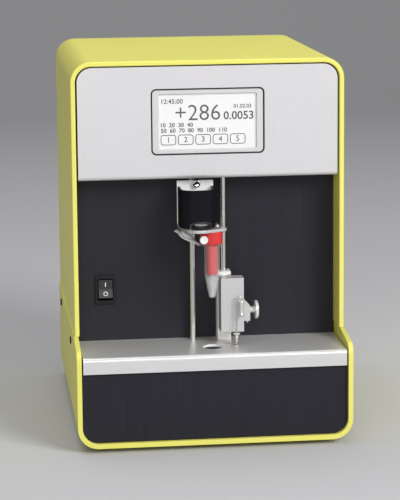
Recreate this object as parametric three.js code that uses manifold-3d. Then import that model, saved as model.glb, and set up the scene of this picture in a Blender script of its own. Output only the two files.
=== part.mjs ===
// Bench osmometer for freezing points.
// Lengths are millimetres. +Z is up, X runs to the right of someone facing the front, and the front
// looks to -Y. Every piece is drawn with Y measured back from the front edge of the base shell and Z
// up from the table. The outer group moves the set half its depth forward, so the origin lies under
// the middle of the footprint.

import * as THREE from 'three';
import { mergeVertices } from 'three/addons/utils/BufferGeometryUtils.js';
import Module from 'manifold-3d';

const wasm = await Module();
wasm.setup();

// Driving dimensions of the housing
const housingWidth = 200;
const displayPanelHeight = 86;
const bayHeight = 122.5;
const housingDepth = 240;
const shellWall = 3.5;
const seamLedge = 0.8;
const shellRadius = 15;
const footHeight = 3.5;
const footRadius = 8;
const footTaper = 1.5;
const footInset = 26;
const seamLift = 8.5;
const bayStep = 34;
const soffitDepth = 23;
const cheekDrop = 3.5;
const cheekNose = 9;
const panelGap = 0.3;
const cutOverrun = 5;

// Driving dimensions of the inner chassis and of the rear
const chassisSheet = 1.5;
const chassisRise = 12;
const chassisSetback = 6;
const rearSheet = 2;
const rearInset = 2;
const sideScrewRadius = 2.8;
const sideScrewHead = 1.6;
const sideScrewShank = 1.5;
const sideScrewLength = 5;
const sideScrewSocket = 1.1;
const sideScrewSocketDepth = 0.9;
const sideScrewDrop = 10.4;
const sideScrewLead = 11;
const sideScrewRearInset = 35;
const sideScrewProud = 1;
const boreGap = 0.3;

// Driving dimensions of the bay's panels, the shelf and the lower panel
const baySheet = 2;
const baySideGap = 0.7;
const shelfRise = 66.5;
const shelfSheet = 2;
const shelfNose = 0.5;
const shelfLip = 11.7;
const shelfBend = 3;
const shelfSideGap = 1.1;
const angleSheet = 1.5;
const angleLeg = 14;
const angleFront = 14;
const lowerSheet = 2;
const lowerGap = 0.5;
const lowerLap = 7;
const hoodPanelSheet = 2;
const hoodPanelBend = 3;
const hoodPanelInset = 1;

// Driving dimensions of the display
const displaySideGap = 1.3;
const displayTopGap = 0.9;
const windowWidth = 82.5;
const windowHeight = 48.1;
const windowRadius = 3.8;
const windowShift = 0.3;
const gasketRim = 0.6;
const gasketProud = 0.3;
const windowSheet = 1.5;
const windowSunk = 0.3;
const screenSideBorder = 5.6;
const screenEndBorder = 4;
const screenFrame = 3.6;
const screenThickness = 6;
const screenGap = 0.3;
const boardSheet = 1.6;
const displayBoardMargin = 2;
const displayBoardLift = 4.95;
const displayStandoff = 5;
const standoffRadius = 2.5;

// Driving dimensions of the guide rods and what holds them
const rodRadius = 2.25;
const rodSpacing = 22.8;
const rodInset = 6;
const rodFlat = 0.5;
const rodSunk = 1.5;
const rodFoot = 5.5;
const bridgeWidth = 40;
const bridgeHeight = 9;
const bridgeGap = 1;
const anchorHeight = 9;
const anchorDepth = 14;

// Driving dimensions of the measuring head
const tubeX = 0.6;
const tubeSetback = 25;
const flangeDrop = 36.8;
const flangeSheet = 2.2;
const plateLeft = -22.4;
const plateRight = 4.2;
const plateHeight = 32.1;
const plateSheet = 1.5;
const plateLead = 7;
const flangeCornerWidth = 1.8;
const flangeCornerDepth = 9;
const flangeShoulder = 29;
const lobeRadius = 10.6;
const lobeX = -8.5;
const lobeSetback = 24;
const tabRight = 11.2;
const tabFront = 22;
const tabRound = 1.5;
const tabBack = 28.8;
const flangeRight = 7.2;
const coverLeft = -21.9;
const coverRight = 3.9;
const coverFront = 21;
const coverHeight = 27.9;
const coverWall = 1.5;
const coverRadius = 9.5;
const archWidth = 16;
const archHeight = 5.1;
const motorX = -7.6;
const motorSetback = 21.8;
const motorRadius = 7;
const motorHeight = 2.1;
const motorCapRadius = 5.9;
const motorCapHeight = 0.8;
const motorCapDish = 0.35;
const motorCapRim = 0.7;
const bushWidth = 13;
const bushDepth = 10.3;
const bushHeight = 26;
const plateScrewX = -8.2;
const plateScrewDrop = 2.4;
const socketHeadRadius = 2.75;
const socketHeadHeight = 3;
const socketRadius = 1.45;
const socketDepth = 1.6;
const tabScrewX = 5.6;
const tabScrewSetback = 33.3;
const tabScrewRadius = 1.5;
const tabScrewHeight = 1;
const tabScrewSlot = 0.5;

// Driving dimensions of the probe, the sample tube and its lid
const collarRadius = 7.7;
const collarHeight = 9.1;
const earWidth = 3.6;
const earHeight = 6;
const earFront = 18;
const earBack = 26;
const earX = -6.1;
const clampRise = 3.8;
const clampHeadRadius = 3;
const clampHeadHeight = 1.8;
const clampShankRadius = 1.2;
const clampShankLength = 6;
const sleeveRadius = 3.7;
const sleeveWall = 1;
const sleeveLength = 22.75;
const probeRadius = 1;
const probeLength = 36;
const tubeLength = 40.2;
const tubeRadius = 5.45;
const tubeWall = 0.9;
const tubeRimRadius = 6.25;
const tubeRimHeight = 2;
const tubeConeLength = 17;
const tubeTipRadius = 2.3;
const tubeTipRound = 1.4;
const tabletReach = 3;
const tabletWidth = 4;
const tabletSheet = 0.8;
const hingeSlack = 0.4;
const lidRadius = 6.7;
const lidSheet = 1.2;
const lidStrap = 4.5;
const lidTab = 2.6;
const lidTabWidth = 5;
const plugRadius = 4.6;
const plugWall = 0.9;
const plugHeight = 2.2;
const lidAngle = 28;
const lidTurn = 25;

// Driving dimensions of the needle carriage
const postWidth = 10;
const postDepth = 11;
const postHeight = 51.3;
const railStart = 8.8;
const railShort = 0.3;
const railNeck = 4;
const railHead = 6.4;
const railNeckDepth = 1.8;
const railHeadDepth = 1.8;
const slideGap = 0.3;
const blockLeftGap = 0.5;
const blockWidth = 16.9;
const blockRise = 9.3;
const blockHeight = 40;
const blockSeat = 16.2;
const blockThickness = 11.3;
const needleX = 18.3;
const needleStandoff = 3.3;
const needleRadius = 0.55;
const needleLift = 0.6;
const chuckSpread = 3.65;
const chuckBall = 1.9;
const chuckWaist = 1.25;
const chuckLength = 12.7;
const chuckRise = 21.2;
const chuckStub = 1.1;
const armThickness = 8;
const armReach = 4.8;
const armHeight = 11;
const armSlope = 5.4;
const armRise = 16.9;
const armLead = 1.3;
const screwShaftRadius = 2.35;
const screwShaftLength = 3.7;
const screwCoreRadius = 1.3;
const screwCoreLength = 3.4;
const knobRadius = 6.75;
const knobThickness = 3.2;
const knobDome = 0.9;
const knobRound = 0.8;
const setScrewRadius = 0.9;
const setScrewLength = 4.5;
const setScrewShown = 1.9;
const nozzleRadius = 2.6;
const nozzleWaist = 1;
const nozzleBead = 1.75;
const nozzleGap = 0.3;
const nozzleLength = 5.8;
const ringRadius = 1.9;
const ringHeight = 0.5;
const ringBore = 1.15;

// Driving dimensions of the cooler under the shelf
const wellRadius = 7.3;
const coldBoreRadius = 6.6;
const coldBoreDepth = 26;
const coldBoreTip = 3;
const coldTipDepth = 5;
const coldLeft = -18;
const coldRight = 26;
const coldFront = 11;
const coldRearGap = 2;
const coldHeight = 38;
const coldNeedleDepth = 12;
const peltierThickness = 3.8;
const peltierMargin = 3;
const sinkWidth = 72;
const sinkDepth = 64;
const sinkBase = 5;
const sinkFin = 1.6;
const sinkFins = 10;
const sinkFront = 14;

// Driving dimensions of the mains switch
const switchInset = 25.2;
const switchLift = 38.3;
const switchWidth = 15;
const switchHeight = 21.5;
const switchBezel = 1.6;
const switchBodyWidth = 12.6;
const switchBodyHeight = 19;
const switchBodyDepth = 19;
const switchRim = 1.9;
const rockerHalfHeight = 6.7;
const rockerEnd = 5.6;
const rockerMiddle = 4.5;
const rockerTail = 2.6;
const rockerTailHalf = 3;
const rockerPivot = 2.2;
const rockerAngle = 9;
const rockerGap = 0.4;

// Driving dimensions of the rear fittings and of the boards inside
const inletInset = 42;
const inletRise = 20;
const inletWidth = 34;
const inletHeight = 46;
const inletFlange = 1.8;
const inletBodyWidth = 28;
const inletBodyHeight = 40;
const inletBodyDepth = 24;
const socketWidth = 24;
const socketHeight = 16.5;
const socketRecess = 17;
const socketLift = 4;
const pinLength = 12;
const pinWidth = 2;
const pinHeight = 4;
const pinSpacing = 14;
const pinRise = 4;
const drawerWidth = 22;
const drawerHeight = 10;
const drawerDepth = 18;
const drawerLift = 26;
const drawerProud = 0.2;
const drawerSheet = 1.2;
const fanInset = 58;
const fanRise = 150;
const fanSize = 60;
const fanDepth = 15;
const fanBore = 28;
const fanHub = 12;
const fanHubDepth = 12;
const fanBlades = 7;
const fanBladeLength = 15;
const fanBladeWidth = 11;
const fanBladeSheet = 1.2;
const fanBladePitch = 35;
const fanSpider = 3;
const fanSpiderDepth = 2;
const fanAxleRadius = 2.4;
const grilleSlots = 9;
const grilleSlotHeight = 3.2;
const grilleSlotPitch = 5.4;
const serialX = 20;
const serialRise = 42;
const serialWidth = 31;
const serialHeight = 12.5;
const serialShellWidth = 17;
const serialShellHeight = 8.4;
const serialShellProud = 1.6;
const serialBodyDepth = 10;
const serialFlange = 0.8;
const supplyWallGap = 14.5;
const supplyWidth = 52;
const supplyLead = 37;
const supplyRearGap = 22;
const supplyHeight = 38;
const supplyStandoff = 3;
const boardWallGap = 12.5;
const boardGap = 10;
const boardLead = 27;
const boardRearGap = 40;
const boardStandoff = 6;
const chipHeight = 4;
const chipLength = 22;
const chipWidth = 9;
const chipPitch = 26;
const chipCount = 3;
const capacitorRadius = 6;
const capacitorHeight = 18;

// Shares and counts of flats on round forms
const screwShare = 0.7;
const setScrewShare = 0.65;
const nozzleShares = [0.167, 0.333, 0.4, 0.5, 0.633, 0.7, 0.833, 1];
const needleSides = 10;
const needleSteps = 12;
const wideSides = 40;
const roundSides = 28;
const smallSides = 16;
const cornerSteps = 6;

// Places worked out from the driving dimensions
const halfWidth = housingWidth / 2;
const innerHalf = halfWidth - shellWall;
const hoodHalf = halfWidth - seamLedge;
const hoodInner = hoodHalf - shellWall;
const shellBottom = footHeight;
const shelfTop = shellBottom + shelfRise;
const shelfUnder = shelfTop - shelfSheet;
const seam = shelfTop + seamLift;
const soffit = shelfTop + bayHeight;
const soffitTop = soffit + hoodPanelSheet;
const shellTop = soffit + displayPanelHeight;
const floorTop = shellBottom + shellWall;
const innerTop = shellTop - shellWall;
const bayDepth = bayStep + soffitDepth;
const bayBack = bayDepth + baySheet;
const rodSetback = bayDepth - rodInset;
const plateSetback = rodSetback - plateLead;
const postFront = rodSetback - postDepth / 2;
const blockFront = postFront - blockSeat;
const needleSetback = blockFront - needleStandoff;
const armSetback = blockFront + armLead;
const sideScrewFront = bayBack + sideScrewLead;
const hoodPanelFront = bayStep + hoodPanelInset;
const leftRodX = tubeX - rodSpacing / 2;
const rightRodX = tubeX + rodSpacing / 2;
const flangeUnder = soffit - flangeDrop;
const flangeTop = flangeUnder + flangeSheet;
const rimTop = flangeUnder - collarHeight;
const hingeReach = tubeRimRadius + tabletReach + hingeSlack / 2;
const lidBearing = THREE.MathUtils.degToRad(lidTurn);
const screenWidth = windowWidth - 2 * screenSideBorder;
const screenHeight = windowHeight - 2 * screenEndBorder;
const boardReach = screenHeight / 2 + screenFrame + displayBoardMargin;
const windowCentre = soffitTop + bridgeHeight + displayBoardLift + boardReach;
const switchX = switchInset - halfWidth;
const switchCentre = shelfTop + switchLift;
const coldTop = shelfUnder;
const coldBack = rodSetback - anchorDepth / 2 - coldRearGap;
const coldUnder = coldTop - coldHeight;
const sinkTop = coldUnder - peltierThickness;
const rearFace = housingDepth - rearInset;
const rearFront = rearFace - rearSheet;
const inletX = inletInset - halfWidth;
const fanX = halfWidth - fanInset;
const supplyRight = hoodInner - supplyWallGap;
const supplyLeft = supplyRight - supplyWidth;
const supplyFront = bayBack + supplyLead;
const supplyBack = rearFront - supplyRearGap;
const boardLeft = boardWallGap - hoodInner;
const boardRight = supplyLeft - boardGap;
const boardFront = bayBack + boardLead;
const boardBack = rearFront - boardRearGap;

// Geometry helpers

function solid(geometry) {
  const bare = geometry.clone();
  bare.deleteAttribute('normal');
  bare.deleteAttribute('uv');
  const merged = mergeVertices(bare);
  const vertProperties = Float32Array.from(merged.attributes.position.array);
  const triVerts = Uint32Array.from(merged.index.array);
  return new wasm.Manifold(new wasm.Mesh({ numProp: 3, vertProperties, triVerts }));
}

function geometryOf(body) {
  const { vertProperties, triVerts } = body.getMesh();
  const geometry = new THREE.BufferGeometry();
  geometry.setAttribute('position', new THREE.BufferAttribute(vertProperties, 3));
  geometry.setIndex(new THREE.BufferAttribute(triVerts, 1));
  geometry.computeVertexNormals();
  return geometry;
}

function cut(body, ...tools) {
  return geometryOf(tools.reduce((left, tool) => left.subtract(solid(tool)), solid(body)));
}

function join(...pieces) {
  return geometryOf(pieces.map(solid).reduce((sum, piece) => sum.add(piece)));
}

function common(one, other) {
  return geometryOf(solid(one).intersect(solid(other)));
}

function block([x0, x1], [y0, y1], [z0, z1]) {
  const geometry = new THREE.BoxGeometry(x1 - x0, y1 - y0, z1 - z0);
  return geometry.translate((x0 + x1) / 2, (y0 + y1) / 2, (z0 + z1) / 2);
}

function around(centre, width) {
  return [centre - width / 2, centre + width / 2];
}

function barX([x0, x1], y, z, radius, sides = roundSides) {
  const geometry = new THREE.CylinderGeometry(radius, radius, x1 - x0, sides);
  return geometry.rotateZ(-Math.PI / 2).translate((x0 + x1) / 2, y, z);
}

function barY(x, [y0, y1], z, radius, sides = roundSides) {
  return new THREE.CylinderGeometry(radius, radius, y1 - y0, sides).translate(x, (y0 + y1) / 2, z);
}

function barZ(x, y, [z0, z1], radius, sides = roundSides) {
  const geometry = new THREE.CylinderGeometry(radius, radius, z1 - z0, sides);
  return geometry.rotateX(Math.PI / 2).translate(x, y, (z0 + z1) / 2);
}

function extrude(shape, length) {
  return new THREE.ExtrudeGeometry(shape, { depth: length, bevelEnabled: false, curveSegments: cornerSteps });
}

// A shape drawn in X and Z, carried back from y0 to y1
function prismY(shape, [y0, y1]) {
  return extrude(shape, y1 - y0).rotateX(Math.PI / 2).translate(0, y1, 0);
}

// A shape drawn in Y and Z, carried to the right from x0 to x1
function prismX(shape, [x0, x1]) {
  const turn = new THREE.Matrix4().makeBasis(
    new THREE.Vector3(0, 1, 0),
    new THREE.Vector3(0, 0, 1),
    new THREE.Vector3(1, 0, 0),
  );
  return extrude(shape, x1 - x0).applyMatrix4(turn).translate(x0, 0, 0);
}

// A shape drawn in X and Y, carried up from z0 to z1
function prismZ(shape, [z0, z1]) {
  return extrude(shape, z1 - z0).translate(0, 0, z0);
}

// A profile of (radius, height) points turned about the Z axis through x, y
function turned(points, x, y, sides = roundSides) {
  const profile = points.map(([radius, height]) => new THREE.Vector2(radius, height));
  return new THREE.LatheGeometry(profile, sides).rotateX(Math.PI / 2).translate(x, y, 0);
}

function polygon(points) {
  return new THREE.Shape(points.map(([a, b]) => new THREE.Vector2(a, b)));
}

function roundedRectangle([a0, a1], [b0, b1], radius) {
  const shape = new THREE.Shape();
  shape.moveTo(a0 + radius, b0);
  shape.lineTo(a1 - radius, b0);
  shape.absarc(a1 - radius, b0 + radius, radius, -Math.PI / 2, 0);
  shape.lineTo(a1, b1 - radius);
  shape.absarc(a1 - radius, b1 - radius, radius, 0, Math.PI / 2);
  shape.lineTo(a0 + radius, b1);
  shape.absarc(a0 + radius, b1 - radius, radius, Math.PI / 2, Math.PI);
  shape.lineTo(a0, b0 + radius);
  shape.absarc(a0 + radius, b0 + radius, radius, Math.PI, 1.5 * Math.PI);
  return shape;
}

// A trough of even wall in X and Z, closed with round corners at one end of its height and open at the other
function channel(half, open, closed, wall, radius) {
  const up = Math.sign(closed - open);
  const turn = (up * Math.PI) / 2;
  const clockwise = up > 0;
  const shape = new THREE.Shape();
  shape.moveTo(-half, open);
  shape.lineTo(-half, closed - up * radius);
  shape.absarc(-half + radius, closed - up * radius, radius, Math.PI, turn, clockwise);
  shape.lineTo(half - radius, closed);
  shape.absarc(half - radius, closed - up * radius, radius, turn, 0, clockwise);
  shape.lineTo(half, open);
  shape.lineTo(half - wall, open);
  const inner = radius - wall;
  shape.lineTo(half - wall, closed - up * radius);
  shape.absarc(half - radius, closed - up * radius, inner, 0, turn, !clockwise);
  shape.lineTo(-half + radius, closed - up * wall);
  shape.absarc(-half + radius, closed - up * radius, inner, turn, Math.PI, !clockwise);
  shape.lineTo(-half + wall, open);
  return shape;
}

// The scene graph

const bench = new THREE.Group();
const osmometer = new THREE.Group();
bench.add(osmometer);
osmometer.position.y = -housingDepth / 2;

const measuringHead = new THREE.Group();
const needleCarriage = new THREE.Group();
const openLid = new THREE.Group();
const rocker = new THREE.Group();
measuringHead.add(openLid);
osmometer.add(measuringHead, needleCarriage, rocker);

function finish(color, roughness, metalness) {
  return new THREE.MeshStandardMaterial({ color, roughness, metalness });
}

const yellowPaint = () => finish(0xede66b, 0.55, 0.0);
const blackPaint = () => finish(0x2b2a30, 0.6, 0.0);
const greyPaint = () => finish(0xb9bab8, 0.6, 0.0);
const satinAluminium = () => finish(0xd6d4d4, 0.4, 0.9);
const steel = () => finish(0xb8b9ba, 0.25, 1.0);
const chrome = () => finish(0xe6e6e6, 0.1, 1.0);
const zinc = () => finish(0xa9acb0, 0.5, 0.8);
const blackPlastic = () => finish(0x17171a, 0.45, 0.0);
const rubber = () => finish(0x1c1c1c, 0.9, 0.0);
const redPlastic = () => finish(0xcd3b3e, 0.4, 0.0);
const whitePlastic = () => finish(0xe4e0e2, 0.4, 0.0);
const clearPlastic = () => finish(0xe8ebec, 0.2, 0.0);
const boardGreen = () => finish(0x2b5c3a, 0.6, 0.0);

function add(name, geometry, material, parent = osmometer) {
  const mesh = new THREE.Mesh(geometry, material);
  mesh.name = name;
  parent.add(mesh);
  return mesh;
}

// Housing

function cheekProfile() {
  const top = seam - cheekDrop;
  const shape = new THREE.Shape();
  shape.moveTo(0, shellBottom);
  shape.lineTo(housingDepth, shellBottom);
  shape.lineTo(housingDepth, seam);
  shape.lineTo(bayStep, seam);
  shape.lineTo(cheekNose, top);
  shape.quadraticCurveTo(0, top, 0, top - cheekNose);
  return shape;
}

function screwSeats() {
  const seats = [];
  for (const side of [-1, 1]) {
    for (const y of [sideScrewFront, housingDepth - sideScrewRearInset]) {
      seats.push({ side, y, z: seam - sideScrewDrop });
    }
  }
  return seats;
}

function makeBaseShell() {
  const trough = prismY(channel(halfWidth, seam, shellBottom, shellWall, shellRadius), [0, housingDepth]);
  const sides = prismX(cheekProfile(), [-halfWidth - cutOverrun, halfWidth + cutOverrun]);
  const tools = screwSeats().flatMap(({ side, y, z }) => {
    const outside = [side * (halfWidth - sideScrewHead + sideScrewProud), side * (halfWidth + cutOverrun)];
    const through = [side * (innerHalf - cutOverrun), side * (halfWidth + cutOverrun)];
    return [
      barX(outside.sort((a, b) => a - b), y, z, sideScrewRadius + boreGap, smallSides),
      barX(through.sort((a, b) => a - b), y, z, sideScrewShank + boreGap, smallSides),
    ];
  });
  return cut(common(trough, sides), ...tools);
}

function makeHood() {
  return prismY(channel(hoodHalf, seam, shellTop, shellWall, shellRadius), [bayStep, housingDepth]);
}

function makeChassis() {
  const half = hoodInner - panelGap;
  const radius = shellRadius - shellWall - panelGap;
  const top = seam + chassisRise;
  const back = rearFront - panelGap;
  const tray = prismY(channel(half, top, floorTop, chassisSheet, radius), [bayBack + panelGap, back]);
  const apron = block(
    [-half + radius, half - radius],
    [chassisSetback, bayBack + cutOverrun],
    [floorTop, floorTop + chassisSheet],
  );
  const holes = screwSeats().map(({ side, y, z }) => {
    const through = [side * (innerHalf - cutOverrun), side * (halfWidth + cutOverrun)];
    return barX(through.sort((a, b) => a - b), y, z, sideScrewShank + boreGap, smallSides);
  });
  return cut(join(tray, apron), ...holes);
}

function makeSideScrew({ side, y, z }) {
  const face = halfWidth + sideScrewProud;
  const head = [side * (face - sideScrewHead), side * face].sort((a, b) => a - b);
  const shank = [side * (face - sideScrewHead - sideScrewLength), side * face].sort((a, b) => a - b);
  const socket = [side * (face - sideScrewSocketDepth), side * (face + cutOverrun)].sort((a, b) => a - b);
  return cut(
    join(barX(head, y, z, sideScrewRadius, smallSides), barX(shank, y, z, sideScrewShank, smallSides)),
    barX(socket, y, z, sideScrewSocket, 6),
  );
}

function makeFoot(x, y) {
  return turned(
    [
      [0, 0],
      [footRadius - footTaper, 0],
      [footRadius, footTaper],
      [footRadius, footHeight],
      [0, footHeight],
    ],
    x,
    y,
    smallSides,
  );
}

function makeRearPanel() {
  const half = hoodInner - panelGap;
  const radius = shellRadius - shellWall - panelGap;
  const sheet = prismY(
    roundedRectangle([-half, half], [floorTop + panelGap, innerTop - panelGap], radius),
    [rearFront, rearFace],
  );
  const deep = [rearFront - cutOverrun, rearFace + cutOverrun];
  const holes = [
    block(
      around(inletX, inletBodyWidth + 2 * boreGap),
      deep,
      around(shellBottom + inletRise + inletHeight / 2, inletBodyHeight + 2 * boreGap),
    ),
    block(
      around(serialX, serialShellWidth + 2 * boreGap),
      deep,
      around(shellBottom + serialRise, serialShellHeight + 2 * boreGap),
    ),
  ];
  for (let slot = 0; slot < grilleSlots; slot += 1) {
    const rise = (slot - (grilleSlots - 1) / 2) * grilleSlotPitch;
    const reach = Math.sqrt(fanBore ** 2 - rise ** 2);
    holes.push(block(around(fanX, 2 * reach), deep, around(shellBottom + fanRise + rise, grilleSlotHeight)));
  }
  return cut(sheet, ...holes);
}

add('base_shell', makeBaseShell(), yellowPaint());
add('hood', makeHood(), yellowPaint());
add('chassis', makeChassis(), zinc());
add('rear_panel', makeRearPanel(), greyPaint());
for (const seat of screwSeats()) {
  const hand = seat.side < 0 ? 'left' : 'right';
  const end = seat.y === sideScrewFront ? 'front' : 'rear';
  add(`side_screw_${hand}_${end}`, makeSideScrew(seat), blackPlastic());
}
for (const side of [-1, 1]) {
  for (const [end, y] of [['front', footInset], ['rear', housingDepth - footInset]]) {
    const name = `foot_${side < 0 ? 'left' : 'right'}_${end}`;
    add(name, makeFoot(side * (halfWidth - footInset), y), rubber());
  }
}

// Bay: black back panel, silver panel above, shelf and lower panel

function makeBayPanel() {
  const half = hoodInner - baySideGap;
  const top = soffitTop + bridgeHeight + cutOverrun;
  const sheet = block([-half, half], [bayDepth, bayBack], [shelfTop, top]);
  const opening = block(
    around(switchX, switchBodyWidth + 2 * boreGap),
    [bayDepth - cutOverrun, bayBack + cutOverrun],
    around(switchCentre, switchBodyHeight + 2 * boreGap),
  );
  return cut(sheet, opening);
}

// An angle of sheet in Y and Z with a rounded outer corner: one leg ends at `back`, the other at `far`
function bentSheet(front, back, face, far, sheet, bend) {
  const up = Math.sign(far - face);
  const shape = new THREE.Shape();
  shape.moveTo(back, face);
  shape.lineTo(front + bend, face);
  shape.quadraticCurveTo(front, face, front, face + up * bend);
  shape.lineTo(front, far);
  shape.lineTo(front + sheet, far);
  shape.lineTo(front + sheet, face + up * bend);
  shape.quadraticCurveTo(front + sheet, face + up * sheet, front + bend, face + up * sheet);
  shape.lineTo(back, face + up * sheet);
  return shape;
}

function makeDisplayPanel() {
  const half = hoodInner - displaySideGap;
  const top = innerTop - displayTopGap;
  const profile = bentSheet(hoodPanelFront, bayDepth - panelGap, soffit, top, hoodPanelSheet, hoodPanelBend);
  const radius = shellRadius - shellWall - displayTopGap;
  const outline = roundedRectangle([-half, half], [soffit - radius - cutOverrun, top], radius);
  const panel = common(
    prismX(profile, [-half, half]),
    prismY(outline, [hoodPanelFront - cutOverrun, bayDepth + cutOverrun]),
  );
  const deep = [soffit - cutOverrun, soffitTop + hoodPanelBend + cutOverrun];
  return cut(
    panel,
    prismY(
      roundedRectangle(around(-windowShift, windowWidth), around(windowCentre, windowHeight), windowRadius),
      [hoodPanelFront - cutOverrun, hoodPanelFront + hoodPanelSheet + cutOverrun],
    ),
    barZ(leftRodX, rodSetback, deep, rodRadius + boreGap),
    barZ(rightRodX, rodSetback, deep, rodRadius + boreGap),
  );
}

function makeShelf() {
  const half = innerHalf - shelfSideGap;
  const profile = bentSheet(shelfNose, bayBack, shelfTop, shelfTop - shelfLip, shelfSheet, shelfBend);
  const deep = [shelfUnder - cutOverrun, shelfTop + cutOverrun];
  return cut(
    prismX(profile, [-half, half]),
    barZ(tubeX, tubeSetback, deep, wellRadius, wideSides),
    barZ(needleX, needleSetback, deep, ringBore, smallSides),
    barZ(leftRodX, rodSetback, deep, rodRadius + boreGap),
    barZ(rightRodX, rodSetback, deep, rodRadius + boreGap),
  );
}

function makeLowerPanel() {
  const half = innerHalf - panelGap;
  const front = shelfNose + shelfSheet + lowerGap;
  const radius = shellRadius - shellWall - panelGap;
  const top = shelfTop - shelfLip + lowerLap;
  const outline = roundedRectangle([-half, half], [floorTop + panelGap, top + radius], radius);
  const deep = [front - cutOverrun, front + lowerSheet + cutOverrun];
  return cut(
    prismY(outline, [front, front + lowerSheet]),
    block([-halfWidth, halfWidth], deep, [top, top + radius + cutOverrun]),
  );
}

function makeShelfAngle(side) {
  const outer = innerHalf;
  const profile = polygon([
    [outer, shelfUnder],
    [outer - angleLeg, shelfUnder],
    [outer - angleLeg, shelfUnder - angleSheet],
    [outer - angleSheet, shelfUnder - angleSheet],
    [outer - angleSheet, shelfUnder - angleLeg],
    [outer, shelfUnder - angleLeg],
  ]);
  const geometry = prismY(profile, [angleFront, bayDepth]);
  return side > 0 ? geometry : cut(geometry.rotateZ(Math.PI).translate(0, angleFront + bayDepth, 0));
}

add('bay_panel', makeBayPanel(), blackPaint());
add('display_panel', makeDisplayPanel(), satinAluminium());
add('shelf', makeShelf(), satinAluminium());
add('lower_panel', makeLowerPanel(), blackPaint());
add('shelf_angle_left', makeShelfAngle(-1), zinc());
add('shelf_angle_right', makeShelfAngle(1), zinc());

// Display: dark gasket, window and the screen behind it

function makeDisplayGasket() {
  const width = windowWidth - 2 * panelGap;
  const height = windowHeight - 2 * panelGap;
  const deep = [hoodPanelFront - gasketProud, hoodPanelFront + hoodPanelSheet];
  const rim = roundedRectangle(around(-windowShift, width), around(windowCentre, height), windowRadius);
  const hole = roundedRectangle(
    around(-windowShift, width - 2 * gasketRim),
    around(windowCentre, height - 2 * gasketRim),
    windowRadius - gasketRim,
  );
  return cut(prismY(rim, deep), prismY(hole, [deep[0] - cutOverrun, deep[1] + cutOverrun]));
}

function makeDisplayWindow() {
  const margin = 2 * (panelGap + gasketRim + panelGap);
  const pane = roundedRectangle(
    around(-windowShift, windowWidth - margin),
    around(windowCentre, windowHeight - margin),
    windowRadius - gasketRim - panelGap,
  );
  return prismY(pane, [hoodPanelFront + windowSunk, hoodPanelFront + windowSunk + windowSheet]);
}

function makeScreenModule() {
  const front = hoodPanelFront + hoodPanelSheet + screenGap;
  const back = front + screenThickness;
  const rim = 2 * screenFrame;
  const frame = block(
    around(-windowShift, screenWidth + rim),
    [front, back],
    around(windowCentre, screenHeight + rim),
  );
  const board = block(
    around(-windowShift, screenWidth + rim + 2 * displayBoardMargin),
    [back + displayStandoff, back + displayStandoff + boardSheet],
    around(windowCentre, screenHeight + rim + 2 * displayBoardMargin),
  );
  const posts = [];
  const postRange = [back - boardSheet, back + displayStandoff + boardSheet / 2];
  for (const x of around(-windowShift, screenWidth)) {
    for (const z of around(windowCentre, screenHeight)) {
      posts.push(barY(x, postRange, z, standoffRadius, smallSides));
    }
  }
  return join(frame, board, ...posts);
}

add('display_gasket', makeDisplayGasket(), blackPlastic());
add('display_window', makeDisplayWindow(), clearPlastic());
add('screen_module', makeScreenModule(), whitePlastic());

// Guide rods with the bridge above them and the anchor below the shelf

function rodRange() {
  return [shelfUnder - anchorHeight - rodFoot, soffitTop + bridgeHeight - rodSunk];
}

// A round rod milled flat along its back; `extra` widens it all round for the bore that runs on it
function keyedRod(x, extra) {
  const [low, high] = rodRange();
  const radius = rodRadius + extra;
  const flat = rodSetback + rodRadius - rodFlat + extra;
  return cut(
    barZ(x, rodSetback, [low, high], radius),
    block(around(x, 4 * radius), [flat, flat + 2 * radius], [low - cutOverrun, high + cutOverrun]),
  );
}

function makeBridge() {
  const front = hoodPanelFront + hoodPanelSheet + bridgeGap;
  const height = [soffitTop, soffitTop + bridgeHeight];
  const body = block(around(tubeX, bridgeWidth), [front, bayDepth], height);
  const deep = [soffitTop - cutOverrun, soffitTop + bridgeHeight + cutOverrun];
  return cut(
    body,
    barZ(leftRodX, rodSetback, deep, rodRadius + boreGap),
    barZ(rightRodX, rodSetback, deep, rodRadius + boreGap),
  );
}

function makeAnchor() {
  const body = block(around(tubeX, bridgeWidth), around(rodSetback, anchorDepth), [
    shelfUnder - anchorHeight,
    shelfUnder,
  ]);
  const deep = [shelfUnder - anchorHeight - cutOverrun, shelfUnder + cutOverrun];
  return cut(
    body,
    barZ(leftRodX, rodSetback, deep, rodRadius + boreGap),
    barZ(rightRodX, rodSetback, deep, rodRadius + boreGap),
  );
}

add('rod_left', keyedRod(leftRodX, 0), steel());
add('rod_right', barZ(rightRodX, rodSetback, rodRange(), rodRadius), steel());
add('rod_bridge', makeBridge(), satinAluminium());
add('rod_anchor', makeAnchor(), satinAluminium());

// Measuring head

// The flange seen from above: a shoulder at the left, a lobe round the motor, a tab that reaches right
function flangeOutline() {
  const shape = new THREE.Shape();
  shape.moveTo(plateLeft, plateSetback + plateSheet);
  shape.lineTo(plateLeft, flangeShoulder + flangeCornerDepth);
  shape.lineTo(plateLeft + flangeCornerWidth, flangeShoulder);
  shape.absarc(lobeX, lobeSetback, lobeRadius, 0.96 * Math.PI, 1.62 * Math.PI);
  shape.lineTo(tabRight - tabRound, tabFront - tabRound / 2);
  shape.quadraticCurveTo(tabRight, tabFront, tabRight, tabFront + tabRound);
  shape.lineTo(tabRight, tabBack);
  shape.lineTo(flangeRight, tabBack);
  shape.lineTo(flangeRight, plateSetback + plateSheet);
  return shape;
}

function makeHeadBracket() {
  const flange = prismZ(flangeOutline(), [flangeUnder, flangeTop]);
  const top = flangeTop + plateHeight;
  const plate = block([plateLeft, plateRight], [plateSetback, plateSetback + plateSheet], [flangeUnder, top]);
  return join(flange, plate);
}

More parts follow.
